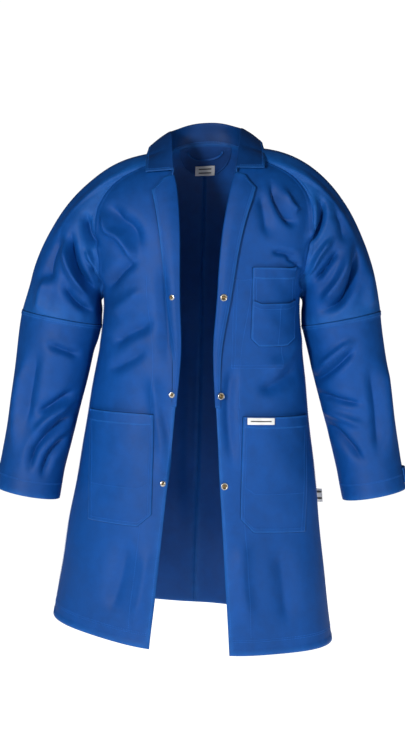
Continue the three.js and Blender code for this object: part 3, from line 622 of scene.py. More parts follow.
# Folds seen from one side: (x, z) places in metres, then width and height. A positive height is a
# ridge, a negative one a groove with a soft lip on each side.
FRONT_FOLDS = [
    # the wearer's right sleeve, fanning up from the armpit
    ([(-0.213, -0.302), (-0.249, -0.260), (-0.265, -0.220), (-0.271, -0.170)], 0.009, 0.0120),
    ([(-0.203, -0.290), (-0.236, -0.246), (-0.251, -0.205), (-0.257, -0.160)], 0.009, -0.0135),
    ([(-0.272, -0.150), (-0.300, -0.220), (-0.302, -0.276)], 0.020, -0.0120),
    ([(-0.203, -0.198), (-0.222, -0.166), (-0.228, -0.122)], 0.011, -0.0130),
    ([(-0.200, -0.262), (-0.214, -0.225), (-0.230, -0.192)], 0.007, 0.0080),
    ([(-0.196, -0.284), (-0.208, -0.248), (-0.221, -0.218)], 0.007, -0.0100),
    ([(-0.212, -0.326), (-0.246, -0.300), (-0.276, -0.262)], 0.010, -0.0090),
    ([(-0.300, -0.240), (-0.318, -0.290), (-0.322, -0.330)], 0.014, 0.0060),
    # the wearer's right chest beside the seam
    (
        [
            (-0.205, -0.106), (-0.189, -0.136), (-0.181, -0.160),
            (-0.157, -0.176), (-0.137, -0.208), (-0.141, -0.236),
        ],
        0.011, 0.0095,
    ),
    ([(-0.184, -0.104), (-0.162, -0.138), (-0.136, -0.158), (-0.114, -0.204)], 0.018, -0.0085),
    ([(-0.192, -0.282), (-0.157, -0.240), (-0.122, -0.214)], 0.014, -0.0085),
    ([(-0.186, -0.330), (-0.146, -0.300), (-0.104, -0.268)], 0.018, 0.0055),
    ([(-0.181, -0.388), (-0.141, -0.360), (-0.085, -0.334)], 0.018, -0.0085),
    ([(-0.192, -0.436), (-0.149, -0.416), (-0.100, -0.386)], 0.015, -0.0060),
    ([(-0.078, -0.210), (-0.070, -0.320), (-0.066, -0.430)], 0.016, -0.0060),
    ([(-0.100, -0.420), (-0.080, -0.520), (-0.062, -0.640)], 0.016, 0.0060),
    ([(-0.085, -0.470), (-0.068, -0.560), (-0.055, -0.680)], 0.012, -0.0060),
    # the wearer's left sleeve
    ([(0.231, -0.088), (0.234, -0.128), (0.224, -0.160), (0.204, -0.196)], 0.008, -0.0135),
    ([(0.203, -0.190), (0.217, -0.144), (0.214, -0.080)], 0.010, 0.0070),
    ([(0.258, -0.172), (0.239, -0.196), (0.216, -0.228), (0.197, -0.258)], 0.008, 0.0095),
    ([(0.268, -0.196), (0.242, -0.232), (0.218, -0.266)], 0.008, -0.0100),
    ([(0.203, -0.236), (0.196, -0.262), (0.208, -0.280)], 0.007, -0.0100),
    ([(0.303, -0.176), (0.301, -0.232), (0.287, -0.272), (0.263, -0.304), (0.225, -0.322)], 0.011, -0.0170),
    ([(0.290, -0.180), (0.275, -0.240), (0.253, -0.280), (0.229, -0.304)], 0.011, 0.0110),
    ([(0.256, -0.112), (0.272, -0.150), (0.276, -0.190)], 0.013, -0.0060),
    ([(0.322, -0.220), (0.328, -0.280), (0.330, -0.320)], 0.014, 0.0060),
    # the wearer's left chest
    ([(0.131, -0.060), (0.146, -0.106), (0.164, -0.138), (0.186, -0.150)], 0.011, -0.0120),
    ([(0.112, -0.080), (0.122, -0.130), (0.128, -0.180)], 0.016, -0.0065),
    ([(0.150, -0.076), (0.168, -0.110), (0.186, -0.124)], 0.010, 0.0060),
    ([(0.130, -0.202), (0.160, -0.206), (0.192, -0.216)], 0.007, -0.0065),
    ([(0.158, -0.214), (0.178, -0.222), (0.194, -0.234)], 0.006, -0.0060),
    ([(0.190, -0.420), (0.150, -0.456), (0.100, -0.470)], 0.018, -0.0070),
    ([(0.196, -0.350), (0.160, -0.412), (0.110, -0.430)], 0.020, 0.0050),
    ([(0.062, -0.400), (0.050, -0.500), (0.060, -0.640)], 0.016, -0.0070),
    ([(0.078, -0.740), (0.072, -0.830), (0.090, -0.930)], 0.020, 0.0060),
    ([(0.150, -0.760), (0.160, -0.840), (0.170, -0.930)], 0.024, -0.0055),
    ([(-0.140, -0.740), (-0.160, -0.830), (-0.180, -0.900)], 0.024, -0.0055),
    ([(-0.100, -0.760), (-0.110, -0.840), (-0.130, -0.930)], 0.020, 0.0050),
    # lower sleeves: creases inside the elbow, and down to the cuff
    ([(0.212, -0.470), (0.258, -0.430), (0.308, -0.384)], 0.011, -0.0085),
    ([(0.222, -0.440), (0.262, -0.404), (0.300, -0.372)], 0.010, 0.0060),
    ([(0.224, -0.482), (0.268, -0.494), (0.322, -0.502)], 0.009, -0.0080),
    ([(0.232, -0.512), (0.274, -0.528), (0.326, -0.548)], 0.010, 0.0060),
    ([(0.240, -0.540), (0.276, -0.570), (0.322, -0.620)], 0.011, -0.0090),
    ([(0.352, -0.400), (0.364, -0.500), (0.372, -0.620)], 0.015, 0.0060),
    ([(0.326, -0.420), (0.340, -0.510), (0.344, -0.620)], 0.014, -0.0055),
    ([(-0.244, -0.470), (-0.290, -0.500), (-0.330, -0.520)], 0.011, -0.0090),
    ([(-0.250, -0.520), (-0.286, -0.545), (-0.330, -0.590), (-0.340, -0.640)], 0.010, -0.0110),
    ([(-0.262, -0.560), (-0.300, -0.600), (-0.318, -0.650)], 0.009, -0.0100),
    ([(-0.254, -0.495), (-0.296, -0.525), (-0.336, -0.565)], 0.010, 0.0080),
    ([(-0.346, -0.400), (-0.366, -0.500), (-0.372, -0.620)], 0.015, 0.0060),
    ([(-0.320, -0.380), (-0.338, -0.470), (-0.350, -0.560)], 0.016, -0.0060),
    ([(-0.236, -0.410), (-0.270, -0.396), (-0.310, -0.380)], 0.010, -0.0070),
]
BACK_FOLDS = [
    # the back: drag lines from the shoulder blades to the armpits, and long soft folds below
    ([(-0.206, -0.280), (-0.160, -0.215), (-0.110, -0.170)], 0.016, -0.0088),
    ([(0.202, -0.290), (0.160, -0.230), (0.105, -0.180)], 0.016, -0.0088),
    ([(-0.210, -0.330), (-0.168, -0.290), (-0.120, -0.265)], 0.015, -0.0072),
    ([(0.204, -0.330), (0.160, -0.300), (0.110, -0.280)], 0.015, -0.0072),
    ([(-0.216, -0.300), (-0.250, -0.240), (-0.270, -0.150)], 0.011, -0.0112),
    ([(0.212, -0.310), (0.246, -0.250), (0.268, -0.160)], 0.011, -0.0112),
    ([(-0.230, -0.330), (-0.276, -0.280), (-0.300, -0.200)], 0.011, -0.0088),
    ([(0.232, -0.336), (0.276, -0.290), (0.304, -0.210)], 0.011, -0.0088),
    ([(-0.070, -0.240), (-0.086, -0.420), (-0.100, -0.700)], 0.022, -0.0088),
    ([(0.080, -0.240), (0.090, -0.430), (0.110, -0.760)], 0.022, -0.0088),
    ([(-0.020, -0.300), (-0.026, -0.520), (-0.030, -0.860)], 0.022, 0.0064),
    ([(-0.150, -0.420), (-0.166, -0.600), (-0.180, -0.860)], 0.024, 0.0072),
    ([(0.150, -0.440), (0.166, -0.620), (0.180, -0.880)], 0.024, 0.0072),
    ([(-0.300, -0.420), (-0.330, -0.500), (-0.360, -0.520)], 0.012, -0.0064),
    ([(0.300, -0.440), (0.330, -0.500), (0.356, -0.530)], 0.012, -0.0064),
    ([(-0.290, -0.460), (-0.320, -0.540), (-0.350, -0.570)], 0.012, -0.0072),
    ([(0.296, -0.470), (0.320, -0.560), (0.350, -0.590)], 0.012, -0.0072),
]
FOLD_STEPS = 10
CREST_POWER, FOLD_GAIN = 1.6, 1.5
DEPTH_FADE = 0.03
FOLDS = [(-1, *fold) for fold in FRONT_FOLDS] + [(1, *fold) for fold in BACK_FOLDS]


def fold_line(places):
    p = np.array(places, float)
    line = refine_axis(p, FOLD_STEPS, False)
    return line, np.linspace(0, 1, len(line))


def fold_heights(p, out):
    """How far each fold lifts or sinks each point, whose outward direction is out."""
    total = np.zeros(len(p))
    here = p[:, [0, 2]]
    for facing, places, width, height in FOLDS:
        line, share = fold_line(places)
        lo, hi = line.min(0) - 3 * width, line.max(0) + 3 * width
        near = np.flatnonzero(np.all((here > lo) & (here < hi), axis=1) & (p[:, 1] * facing > -DEPTH_FADE))
        if not len(near):
            continue
        a, b = line[:-1], line[1:]
        ab = b - a
        t = np.clip(np.einsum("nij,ij->ni", here[near][:, None] - a, ab) / np.sum(ab * ab, -1), 0, 1)
        gap = np.linalg.norm(here[near][:, None] - (a + t[..., None] * ab), axis=-1)
        best = gap.argmin(1)
        rows = np.arange(len(near))
        along = share[best] + t[rows, best] * share[1]
        q = (gap[rows, best] / width) ** CREST_POWER
        ends = ease(along / 0.3) * ease((1 - along) / 0.3)
        faces = ease((out[near, 1] * facing + 0.1) / 0.5)
        section = FOLD_GAIN * height * (1 - 0.8 * q) * np.exp(-0.9 * q)
        total[near] += section * (0.25 + 0.75 * ends) * ends**0.5 * faces
    return total


def ripple(p):
    """The slight unevenness that worn twill keeps everywhere, and the flare of the skirt."""
    x, y, z = p[:, 0], p[:, 1], p[:, 2]
    small = np.sin(31 * x + 17 * z + 2.1) * np.sin(23 * z - 19 * y + 0.7)
    middle = np.sin(14 * x - 9 * y + 11 * z) * np.sin(8 * x + 13 * z + 1.3)
    turn = np.arctan2(x, -y)
    flare = np.sin(7 * turn + 0.6 + 1.5 * z) * ease((-0.42 - z) / 0.5) * np.where(np.abs(x) < 0.32, 1, 0)
    return 0.0010 * small + 0.0016 * middle, 0.0042 * flare


ARM_AXIS_TOP = ARM_RING - 0.19 * ARM_DOWN


def out_direction(p, on_arm):
    """Outward from the middle of the trunk or the arm, the same for two panels that meet."""
    side = np.sign(p[:, 0] - LEAN)
    trunk = p - points(0.45 * p[:, 0], 0 * p[:, 0], np.minimum(p[:, 2], -0.10))
    flat = points(np.abs(p[:, 0] - LEAN), p[:, 1], p[:, 2])
    along = np.clip((flat - ARM_AXIS_TOP) @ ARM_DOWN, 0, None)
    arm = flat - (ARM_AXIS_TOP + along[:, None] * ARM_DOWN)
    arm[:, 0] *= side
    share = on_arm * ease((np.abs(p[:, 0]) - 0.17) / 0.09)
    return unit(mix(unit(trunk), unit(arm), share[:, None]))


def creased(grid, on_arm):
    """The panel with its folds."""
    p = grid.reshape(-1, 3)
    out = out_direction(p, on_arm)
    small, flare = ripple(p)
    low = np.where(on_arm > 0.5, small, small + flare)
    return (p + out * (fold_heights(p, out) + low)[:, None]).reshape(grid.shape)


# ---------------------------------------------------------------- the skins

REFINE = 3
RIDGE, RIDGE_WIDTH = 0.0010, 0.008
HEM_STITCHES, SEAM_STITCHES, BACK_STITCHES = (0.018, 0.0205), (0.0018, 0.0066), (0.0016, 0.0068)
skins, flat_grids = {}, {}


def add_skin(kind, side, grid, wrap, outward):
    """Keeps a panel's smooth grid, and its creased one as its surface."""
    fine = refine(grid, REFINE, wrap)
    heights = fine[..., 2].ravel()
    on_arm = np.ones(len(heights)) if wrap else ease((heights - ARMPIT_Z) / 0.03)
    flat_grids[kind, side] = fine
    skins[kind, side] = Skin(creased(fine, on_arm), wrap, outward)


for side, name in SIDES:
    add_skin("front", side, front_grid(side), False, side)
    add_skin("back", side, back_grid(side), False, -side)
    add_skin("raglan", side, raglan_grid(side), True, side)
    add_skin("sleeve", side, sleeve_grid(side), True, side)


def edge_distance(p, edge):
    """Distance over the cloth from one edge of a grid: 'u0', 'u1', 'v0' or 'v1'."""
    axis = 0 if edge[0] == "u" else 1
    steps = np.linalg.norm(np.diff(p, axis=axis), axis=-1)
    zero = np.zeros_like(np.take(steps, [0], axis))
    arc = np.concatenate([zero, np.cumsum(steps, axis)], axis)
    return arc if edge[1] == "0" else np.take(arc, [-1], axis) - arc


def ridge(p, *edges):
    """Thickness of a panel that is doubled along some of its edges, where a seam is felled or hemmed."""
    high = np.full(p.shape[:2], CLOTH)
    for edge in edges:
        high = np.maximum(high, CLOTH + RIDGE * (1 - ease((edge_distance(p, edge) - RIDGE_WIDTH) / 0.0015)))
    return high


def cut(obj):
    """Returns the piece as it is."""
    return obj


for side, name in SIDES:
    skin = skins["front", side]
    front = panel(f"{name}_front_cloth", skin, cloth, high=ridge(skin.p, "u1", "v0"))
    hang(front, "front", side, [f"{name}_front", f"{name}_front_skirt"])
    cut(front)
    skin = skins["back", side]
    edges = ("u0", "v0") if side > 0 else ("v0",)
    back = panel(f"{name}_back_cloth", skin, cloth, high=ridge(skin.p, *edges))
    hang(back, "body", side, [f"{name}_back_panel"])
    cut(back)
    skin = skins["raglan", side]
    raglan = panel(f"{name}_raglan_cloth", skin, cloth, high=ridge(skin.p, "v0"))
    hang(raglan, "raglan", side, [f"{name}_raglan_sleeve"])
    cut(raglan)
    skin = skins["sleeve", side]
    lower = panel(f"{name}_sleeve_cloth", skin, cloth, high=ridge(skin.p, "v0"))
    hang(lower, "sleeve", side, [f"{name}_elbow_sleeve", f"{name}_forearm_sleeve"])
    cut(lower)

# ---------------------------------------------------------------- places on the skins


def v_of(z, low, top):
    """Share of the way up a front or back panel at height z."""
    rows = np.where(
        z < ARMPIT_Z,
        (z - low) / (ARMPIT_Z - low) * SKIRT_ROWS,
        SKIRT_ROWS + (z - ARMPIT_Z) / (top - ARMPIT_Z) * YOKE_ROWS,
    )
    return rows / (SKIRT_ROWS + YOKE_ROWS)


def on_front(side, x, z):
    """(u, v) of the front skin at a place of the straight coat."""
    start = angle_at(front_edge(side, z), z)
    u = (angle_at(x, z) - start) / (front_outer(z) - start)
    return u, v_of(z, HEM_Z - FRONT_DIP * (1 - clamp(u)), NECK_SEAM_Z)


def on_back(x, z):
    """(u, v) of the back skin at a place of the straight coat."""
    u = angle_at(np.abs(x), z) / back_outer(z)
    return u, v_of(z, HEM_Z, neck_rise(u * BACK_SEAM_ANGLE))


def beyond_edge(side, z, reach):
    """(u, v) of the front skin that far in from the front edge, in metres, or out from it below zero."""
    edge = front_edge(side, z)
    u, v = on_front(side, edge + 0.004, z)
    return u * reach / 0.004, v


def run(skin, u, v, height):
    """Points and normals along a skin for a row of stitches."""
    p = skin.at(u, v, height)
    return p, unit(skin.at(u, v, height + 0.002) - p)


def grid_of(cols, rows):
    return np.meshgrid(np.linspace(0, 1, cols + 1), np.linspace(0, 1, rows + 1), indexing="ij")


def sheet_on(name, skin, u, v, low, high, material, edge_wear=0.005):
    """A closed sheet over a skin, between two heights that may change from place to place."""
    outer, inner = skin.at(u, v, high + 0 * u), skin.at(u, v, low + 0 * u)
    return closed_up(slab(name, outer, inner, material, edge_wear=edge_wear)), outer


# ---------------------------------------------------------------- lapels and facings

LAPEL_TIP_X, LAPEL_TIP_Z, LAPEL_END_Z = 0.103, -0.083, -0.500
NOTCH_SHARE, NOTCH_Z = 0.5, -0.059
FOLD_COLS, LAPEL_COLS, LAPEL_ROWS = 8, 22, 120
LAPEL_LOW, LAPEL_THICK = 0.0017, 0.0024
LAPEL_ROLL = 0.0055


def lapel_width(z):
    full = LAPEL_TIP_X - 0.058
    top = mix(full, full - 0.014, clamp((z - LAPEL_TIP_Z) / (GORGE_Z - LAPEL_TIP_Z)))
    taper = mix(0.007, full, clamp((z - LAPEL_END_Z) / (LAPEL_TIP_Z - LAPEL_END_Z)) ** 1.25)
    return np.where(z > LAPEL_TIP_Z, top, taper)


def lapel_top(a):
    """The top edge: the gorge seam to the notch, then the free edge down to the tip."""
    return np.where(
        a < NOTCH_SHARE,
        mix(GORGE_Z, NOTCH_Z, a / NOTCH_SHARE),
        mix(NOTCH_Z, LAPEL_TIP_Z, (a - NOTCH_SHARE) / (1 - NOTCH_SHARE)),
    )


def lapel(side, name):
    skin = skins["front", side]
    turn = np.linspace(-90, 90, FOLD_COLS + 1)[:-1]
    flat = np.linspace(0, 1, LAPEL_COLS + 1)
    a = np.concatenate([0 * turn, flat])
    across, b = np.meshgrid(a, np.linspace(0, 1, LAPEL_ROWS + 1), indexing="ij")
    z = mix(LAPEL_END_Z, lapel_top(across), b)
    width = lapel_width(z)
    loft = 1 + 1.4 * ease(b * 1.6)
    roll = LAPEL_ROLL * np.sin(math.pi * clamp(across * 0.85 + 0.1)) * ease(b / 0.4)
    crown = roll + 0.0016 * across**4 * ease(b / 0.3)
    top = (LAPEL_LOW + LAPEL_THICK) * loft**0.5
    flat_high = top + crown * (1 - 0.35 * across)
    bend = np.concatenate([np.radians(turn), np.full(len(flat), math.pi / 2)])[:, None] + 0 * b
    radius = flat_high / 2

    def surface(thin):
        reach = -np.cos(bend) * (radius - thin) + across * width
        height = radius + np.sin(bend) * (radius - thin)
        u, v = beyond_edge(side, z, reach)
        far, far_v = on_front(side, front_edge(side, z) + across * width, z)
        use_far = across > 0
        return skin.at(np.where(use_far, far, u), np.where(use_far, far_v, v), height)

    outer, inner = surface(0.0), surface(LAPEL_THICK)
    obj = closed_up(slab(f"{name}_lapel_cloth", outer, inner, cloth, edge_wear=0.005))
    hang(obj, "front", side, [f"{name}_lapel"])
    cut(obj)
    grid = Skin(outer[FOLD_COLS:], outward=side)
    rows = np.linspace(0.004, 0.985, 160)
    wide = lapel_width(mix(LAPEL_END_Z, LAPEL_TIP_Z, rows))
    edge = grid.at(1 - np.minimum(0.006 / wide, 0.6), rows, 0.0001)
    edge_n = unit(grid.at(1 - np.minimum(0.006 / wide, 0.6), rows, 0.0021) - edge)
    cols = np.linspace(NOTCH_SHARE + 0.04, 0.86, 24)
    down = np.linspace(0.02, 0.985, 160)
    z = mix(LAPEL_END_Z, LAPEL_TIP_Z, down)
    # A painted shadow line just outside the lapel's edge.
    under = run(skin, *on_front(side, front_edge(side, z) + lapel_width(z) + 0.0006, z), CLOTH + 0.0004)
    hang(painted_shadow_line(f"{name}_lapel_painted_shadow", [under]), "front", side)
    return [(edge, edge_n), run(grid, cols, 0.986 + 0 * cols, 0.0001)]


for side, name in SIDES:
    skin = skins["front", side]
    rows = lapel(side, name)
    a, b = grid_of(14, 110)
    z = mix(HEM_Z - FRONT_DIP * 0.9 + 0.004, LAPEL_END_Z + 0.02, b)
    u, v = on_front(side, front_edge(side, z) + 0.0008 + a * 0.044, z)
    inside, outer = sheet_on(f"{name}_facing_cloth", skin, u, v, -0.0022, -0.0004, cloth_inside)
    hang(inside, "front", side, [f"{name}_front_facing"])
    cut(inside)
    z = np.linspace(HEM_Z + 0.012, LAPEL_END_Z - 0.004, 200)
    for reach in (0.0055, 0.043):
        rows.append(run(skin, *on_front(side, front_edge(side, z) + reach, z), CLOTH))
    z = np.linspace(LAPEL_END_Z, -0.250, 110)
    inset = 0.046 + 0.015 * ease((z + 0.5) / 0.25)
    rows.append(run(skin, *on_front(side, front_edge(side, z) + inset, z), CLOTH))
    x = np.linspace(0.02, 0.985, 160)
    for lift in HEM_STITCHES:
        rows.append(run(skin, x, lift / 0.69, CLOTH))
    v = np.linspace(0.004, 0.98, 260)
    side_in = 0.0068 / 0.2
    rows.append(run(skin, 1 - side_in + 0 * v, v * 0.685, CLOTH + RIDGE))
    sewn = stitches(f"{name}_front_stitching", rows, thread)
    hang(sewn, "front", side)

# ---------------------------------------------------------------- seams of the backs and sleeves

for side, name in SIDES:
    rows = []
    skin = skins["back", side]
    x = np.linspace(0.01, 0.985, 150)
    for lift in HEM_STITCHES:
        rows.append(run(skin, x, lift / 0.68, CLOTH))
    v = np.linspace(0.003, 0.995, 380)
    if side > 0:
        for away in BACK_STITCHES:
            rows.append(run(skin, away / 0.2 + 0 * v, v, CLOTH + RIDGE))
    hang(stitches(f"{name}_back_stitching", rows, thread), "body", side)
    skin = skins["raglan", side]
    turn = np.linspace(0, 1, 420)
    reach = np.linalg.norm(skin.at(turn, 0 * turn + 0.12) - skin.at(turn, 0 * turn), axis=1) / 0.12
    rows = [run(skin, turn, away / reach, CLOTH + RIDGE) for away in SEAM_STITCHES]
    hang(stitches(f"{name}_raglan_stitching", rows, thread), "raglan", side)
    # A painted shadow line along the raglan seam.
    seam = run(skin, turn, 0 * turn - 0.0002, CLOTH + 0.0004)
    hang(painted_shadow_line(f"{name}_raglan_painted_shadow", [seam]), "raglan", side)
    skin = skins["sleeve", side]
    rows = [run(skin, turn, away / SLEEVE_LENGTH, CLOTH + RIDGE) for away in SEAM_STITCHES]
    rows += [run(skin, turn, 1 - away / SLEEVE_LENGTH, CLOTH) for away in (0.0285, 0.0305)]
    v = np.linspace(0.01, 0.99, 120)
    rows += [run(skin, 0.5 + away / 0.44 + 0 * v, v, CLOTH) for away in (-0.003, 0.003)]
    hang(stitches(f"{name}_sleeve_stitching", rows, thread), "sleeve", side)
    # A painted shadow line along the mid-arm seam.
    seam = run(skin, turn, 0 * turn - 0.001, CLOTH + 0.0004)
    hang(painted_shadow_line(f"{name}_mid_arm_painted_shadow", [seam]), "sleeve", side)

# ---------------------------------------------------------------- cuffs

CUFF_HEM = 0.030
TAB_LENGTH, TAB_WIDTH, TAB_AT, TAB_START = 0.062, 0.028, 0.326, 18.0
TAB_TURN = math.degrees(TAB_LENGTH / CUFF_RADIUS)
SNAP_SHARE = 0.8


def lathe(name, centre, normal, rings, split):
    """A pressed snap part: rings are (radius, height) from the outer foot to the middle. It is nickel,
    and brass from the ring numbered split on."""
    segments = 32
    n = unit(np.asarray(normal, float))
    x = unit(np.cross(n, [0.3, 0.1, 0.9]))
    y = np.cross(n, x)
    a = np.linspace(0, 2 * math.pi, segments, endpoint=False)
    ring = np.cos(a)[:, None] * x + np.sin(a)[:, None] * y
    verts = [centre + ring * r + n * h for r, h in rings[:-1]]
    verts = np.concatenate([*verts, [centre + n * rings[-1][1]], [centre + n * rings[0][1]]])
    count = len(rings) - 1
    tip, foot = count * segments, count * segments + 1
    faces, marks = [], []
    for k in range(count):
        for i in range(segments):
            j = (i + 1) % segments
            here, above = k * segments, (k + 1) * segments
            if k < count - 1:
                faces.append([here + i, here + j, above + j, above + i])
            else:
                faces.append([here + i, here + j, tip])
            marks.append(1 if k >= split else 0)
    for i in range(segments):
        faces.append([(i + 1) % segments, i, foot])
        marks.append(0)
    obj = make(name, verts, faces, nickel)
    obj.data.materials.append(brass)
    obj.data.polygons.foreach_set("material_index", marks)
    return closed_up(obj)


CAP_RINGS = [
    (0.0066, 0.0), (0.0070, 0.0004), (0.0070, 0.0009), (0.0064, 0.0016), (0.0056, 0.0019), (0.0048, 0.0016),
    (0.0043, 0.0011), (0.0034, 0.0009), (0.0024, 0.0010), (0.0012, 0.0013), (0.0, 0.0014),
]
STUD_RINGS = [
    (0.0050, 0.0), (0.0054, 0.0004), (0.0053, 0.0010), (0.0046, 0.0012), (0.0034, 0.0010), (0.0030, 0.0018),
    (0.0026, 0.0022), (0.0018, 0.0020), (0.0010, 0.0014), (0.0, 0.0012),
]

for side, name in SIDES:
    skin = skins["sleeve", side]
    turn, along = grid_of(160, 10)
    u = turn[:-1]
    v = mix(1 - CUFF_HEM / SLEEVE_LENGTH, 1 - 0.0008 / SLEEVE_LENGTH, along[:-1])
    outer, inner = skin.at(u, v, -0.0003), skin.at(u, v, -0.0018)
    hem = closed_up(slab(f"{name}_cuff_hem_cloth", outer, inner, cloth_inside, wrap=True))
    hang(hem, f"{name}_forearm", side, [f"{name}_cuff_hem"])
    cut(hem)

    def tab_place(a, b):
        point = np.maximum(0, a - 0.82) / 0.18
        wide = TAB_WIDTH * (1 - 0.5 * point)
        return (TAB_START - a * TAB_TURN) / 360, (TAB_AT + (b - 0.5) * wide) / SLEEVE_LENGTH

    a, b = grid_of(48, 18)
    u, v = tab_place(a, b)
    rise = 0.0018 + 0.0030 * ease(a / 0.35)
    tab, outer = sheet_on(f"{name}_cuff_tab_cloth", skin, u, v, rise, rise + 0.0024, cloth)
    hang(tab, f"{name}_cuff_tab_body", side, [f"{name}_cuff_tab"])
    cut(tab)
    rim = Skin(outer, outward=side)
    s = np.linspace(0.03, 0.95, 40)
    t = np.linspace(0.14, 0.86, 14)
    rows = [run(rim, s, 0.12, 0.0), run(rim, s, 0.88, 0.0)]
    rows += [run(rim, 0.95, t, 0.0), run(rim, 0.04, t, 0.0), run(rim, 0.12, t, 0.0)]
    hang(stitches(f"{name}_cuff_tab_stitching", rows, thread), f"{name}_cuff_tab_body", side)

    u, v = tab_place(np.array(SNAP_SHARE), np.array(0.5))
    base = skin.at(u, v)
    normal = unit(skin.at(u, v, 0.01) - base)
    cap = lathe(f"{name}_cuff_tab_snap_cap", base + normal * 0.0072, normal, CAP_RINGS, 6)
    hang(cap, f"{name}_cuff_tab_body", side, [f"{name}_cuff_tab_cap"])
    stud = lathe(f"{name}_cuff_snap_stud", base + normal * 0.0014, normal, STUD_RINGS, 4)
    hang(stud, f"{name}_forearm", side, [f"{name}_cuff_stud"])
    ring = lathe(f"{name}_cuff_snap_ring", base - normal * 0.0019, -normal, CAP_RINGS, 6)
    hang(ring, f"{name}_forearm", side, [f"{name}_cuff_stud_ring"])

# ---------------------------------------------------------------- front snaps

SNAP_HEIGHTS = (-0.290, -0.478, -0.648)
SNAP_IN = 0.009

for side, name in SIDES:
    skin = skins["front", side]
    for number, z in enumerate(SNAP_HEIGHTS, 1):
        z = np.array(z)
        u, v = on_front(side, front_edge(side, z) + SNAP_IN, z)
        base = skin.at(u, v)
        normal = unit(skin.at(u, v, 0.01) - base)
        over = 0.0048 + 0.0052 * float(ease((z + 0.5) / 0.2)) if z > LAPEL_END_Z else CLOTH
        rings = CAP_RINGS if side > 0 else STUD_RINGS
        outer_node = f"{name}_snap_{'cap' if side > 0 else 'stud'}_{number}"
        inner_node = f"{name}_snap_{'socket' if side > 0 else 'ring'}_{number}"
        face = lathe(f"{outer_node}_metal", base + normal * over, normal, rings, 5)
        hang(face, "front", side, [outer_node])
        under = -0.0022 if z < LAPEL_END_Z else -0.0002
        rear = lathe(f"{inner_node}_metal", base + normal * under, -normal, CAP_RINGS, 6)
        hang(rear, "front", side, [inner_node])

# ---------------------------------------------------------------- pockets

HEM_BAND = 0.022
SEAT = CLOTH + 0.0004
PATCH_CLOTH = 0.0012
LOWER_X, LOWER_TOP, LOWER_BAG = 0.147, -0.517, 0.0075
CHEST_HEIGHT, PEN_HEIGHT = 0.150, 0.082
INNER_X, INNER_TOP, INNER_WIDTH, INNER_HEIGHT = 0.108, -0.256, 0.096, 0.170


def patch_pocket(name, side, x, top, width, height, chamfer, depth, skin_side=1):
    """A patch sewn round three sides that bags a little and gapes at its mouth. chamfer cuts the lower
    corners: share at the front corner, share at the side corner, size. skin_side is -1 inside the coat."""
    skin = skins["front", side]

    def place(a, b):
        front_cut = clamp((chamfer[2] / width - a) / (chamfer[2] / width)) * chamfer[0]
        side_cut = clamp((a + chamfer[2] / width - 1) / (chamfer[2] / width)) * chamfer[1]
        low = top - height + np.maximum(front_cut, side_cut) * chamfer[2] * 0.95
        z = mix(low, top, b)
        return on_front(side, x + (a - 0.5) * width, z)

    def lift(a, b):
        seat = (4 * a * (1 - a)) ** 0.55 * ease(b * height / 0.05)
        gape = 0.35 + 0.65 * ease((b - 0.25) / 0.75) ** 1.3
        wrinkle = 0.0006 * np.sin(9 * a + 14 * b) * seat
        return depth * seat * gape + wrinkle

    a, b = grid_of(44, 72)
    u, v = place(a, b)
    seat = SEAT if skin_side > 0 else -0.0006 - PATCH_CLOTH
    rise = seat + skin_side * lift(a, b)
    base, outer = sheet_on(f"{name}_cloth", skin, u, v, rise, rise + PATCH_CLOTH, cloth)
    hang(base, "front", side, [name])
    cut(base)
    bb = mix(1 - HEM_BAND / height, 1.0, b)
    u, v = place(mix(0.004, 0.996, a), mix(1 - HEM_BAND / height, 1.002, b))
    rise = seat + skin_side * lift(a, bb) + (0.0013 if skin_side > 0 else -0.0013)
    band, outer_band = sheet_on(f"{name}_hem_band", skin, u, v, rise, rise + PATCH_CLOTH, cloth)
    hang(band, "front", side)
    cut(band)
    surface = Skin(outer, outward=side)
    rows = []
    s = np.linspace(0.012, 0.985, 90)
    for inset in (0.0018, 0.0072):
        rows.append(run(surface, inset / width, s, 0.0001))
        rows.append(run(surface, 1 - inset / width, s, 0.0001))
        t = np.linspace(0.03, 0.97, 60)
        rows.append(run(surface, t, inset / height, 0.0001))
    t = np.linspace(0, 1, 90)
    # Outside the coat, painted shadow lines run round the patch's sewn edges and along its mouth.
    edges = [(0 * t - 0.004, t), (0 * t + 1.004, t), (t, 0 * t - 0.002)] if skin_side > 0 else []
    outline = [run(skin, *place(along, up), SEAT - 0.0006) for along, up in edges]
    if outline:
        outline.append(run(skin, *place(t, 1.004), seat + 0.6 * lift(t, 1.0)))
        hang(painted_shadow_line(f"{name}_edge_painted_shadow", outline), "front", side)
    top_skin = Skin(outer_band, outward=side)
    t = np.linspace(0.03, 0.97, 60)
    rows.append(run(top_skin, t, 0.10, 0.0001))
    rows.append(run(top_skin, t, 0.90, 0.0001))
    bar = np.linspace(0, 1, 12)
    for edge in (0.03, 0.97):
        for k in range(5):
            rows.append(run(top_skin, edge + (bar - 0.5) * 0.045, 0.80 + 0.035 * k, 0.0002))
    return surface, rows, place, lift


for side, name in SIDES:
    surface, rows, _, _ = patch_pocket(
        f"{name}_lower_pocket", side, LOWER_X, LOWER_TOP, 0.126, 0.216, (1, 0, 0.026), LOWER_BAG,
    )
    s = np.linspace(0.05, 0.95, 60)
    rows.append(run(surface, s, 0.335, 0.0001))
    hang(stitches(f"{name}_lower_pocket_stitching", rows, thread), "front", side)

surface, rows, place, lift = patch_pocket(
    "chest_pocket", 1, 0.138, -0.234, 0.084, CHEST_HEIGHT, (1, 1, 0.016), 0.0050,
)
hang(stitches("chest_pocket_stitching", rows, thread), "front", 1)

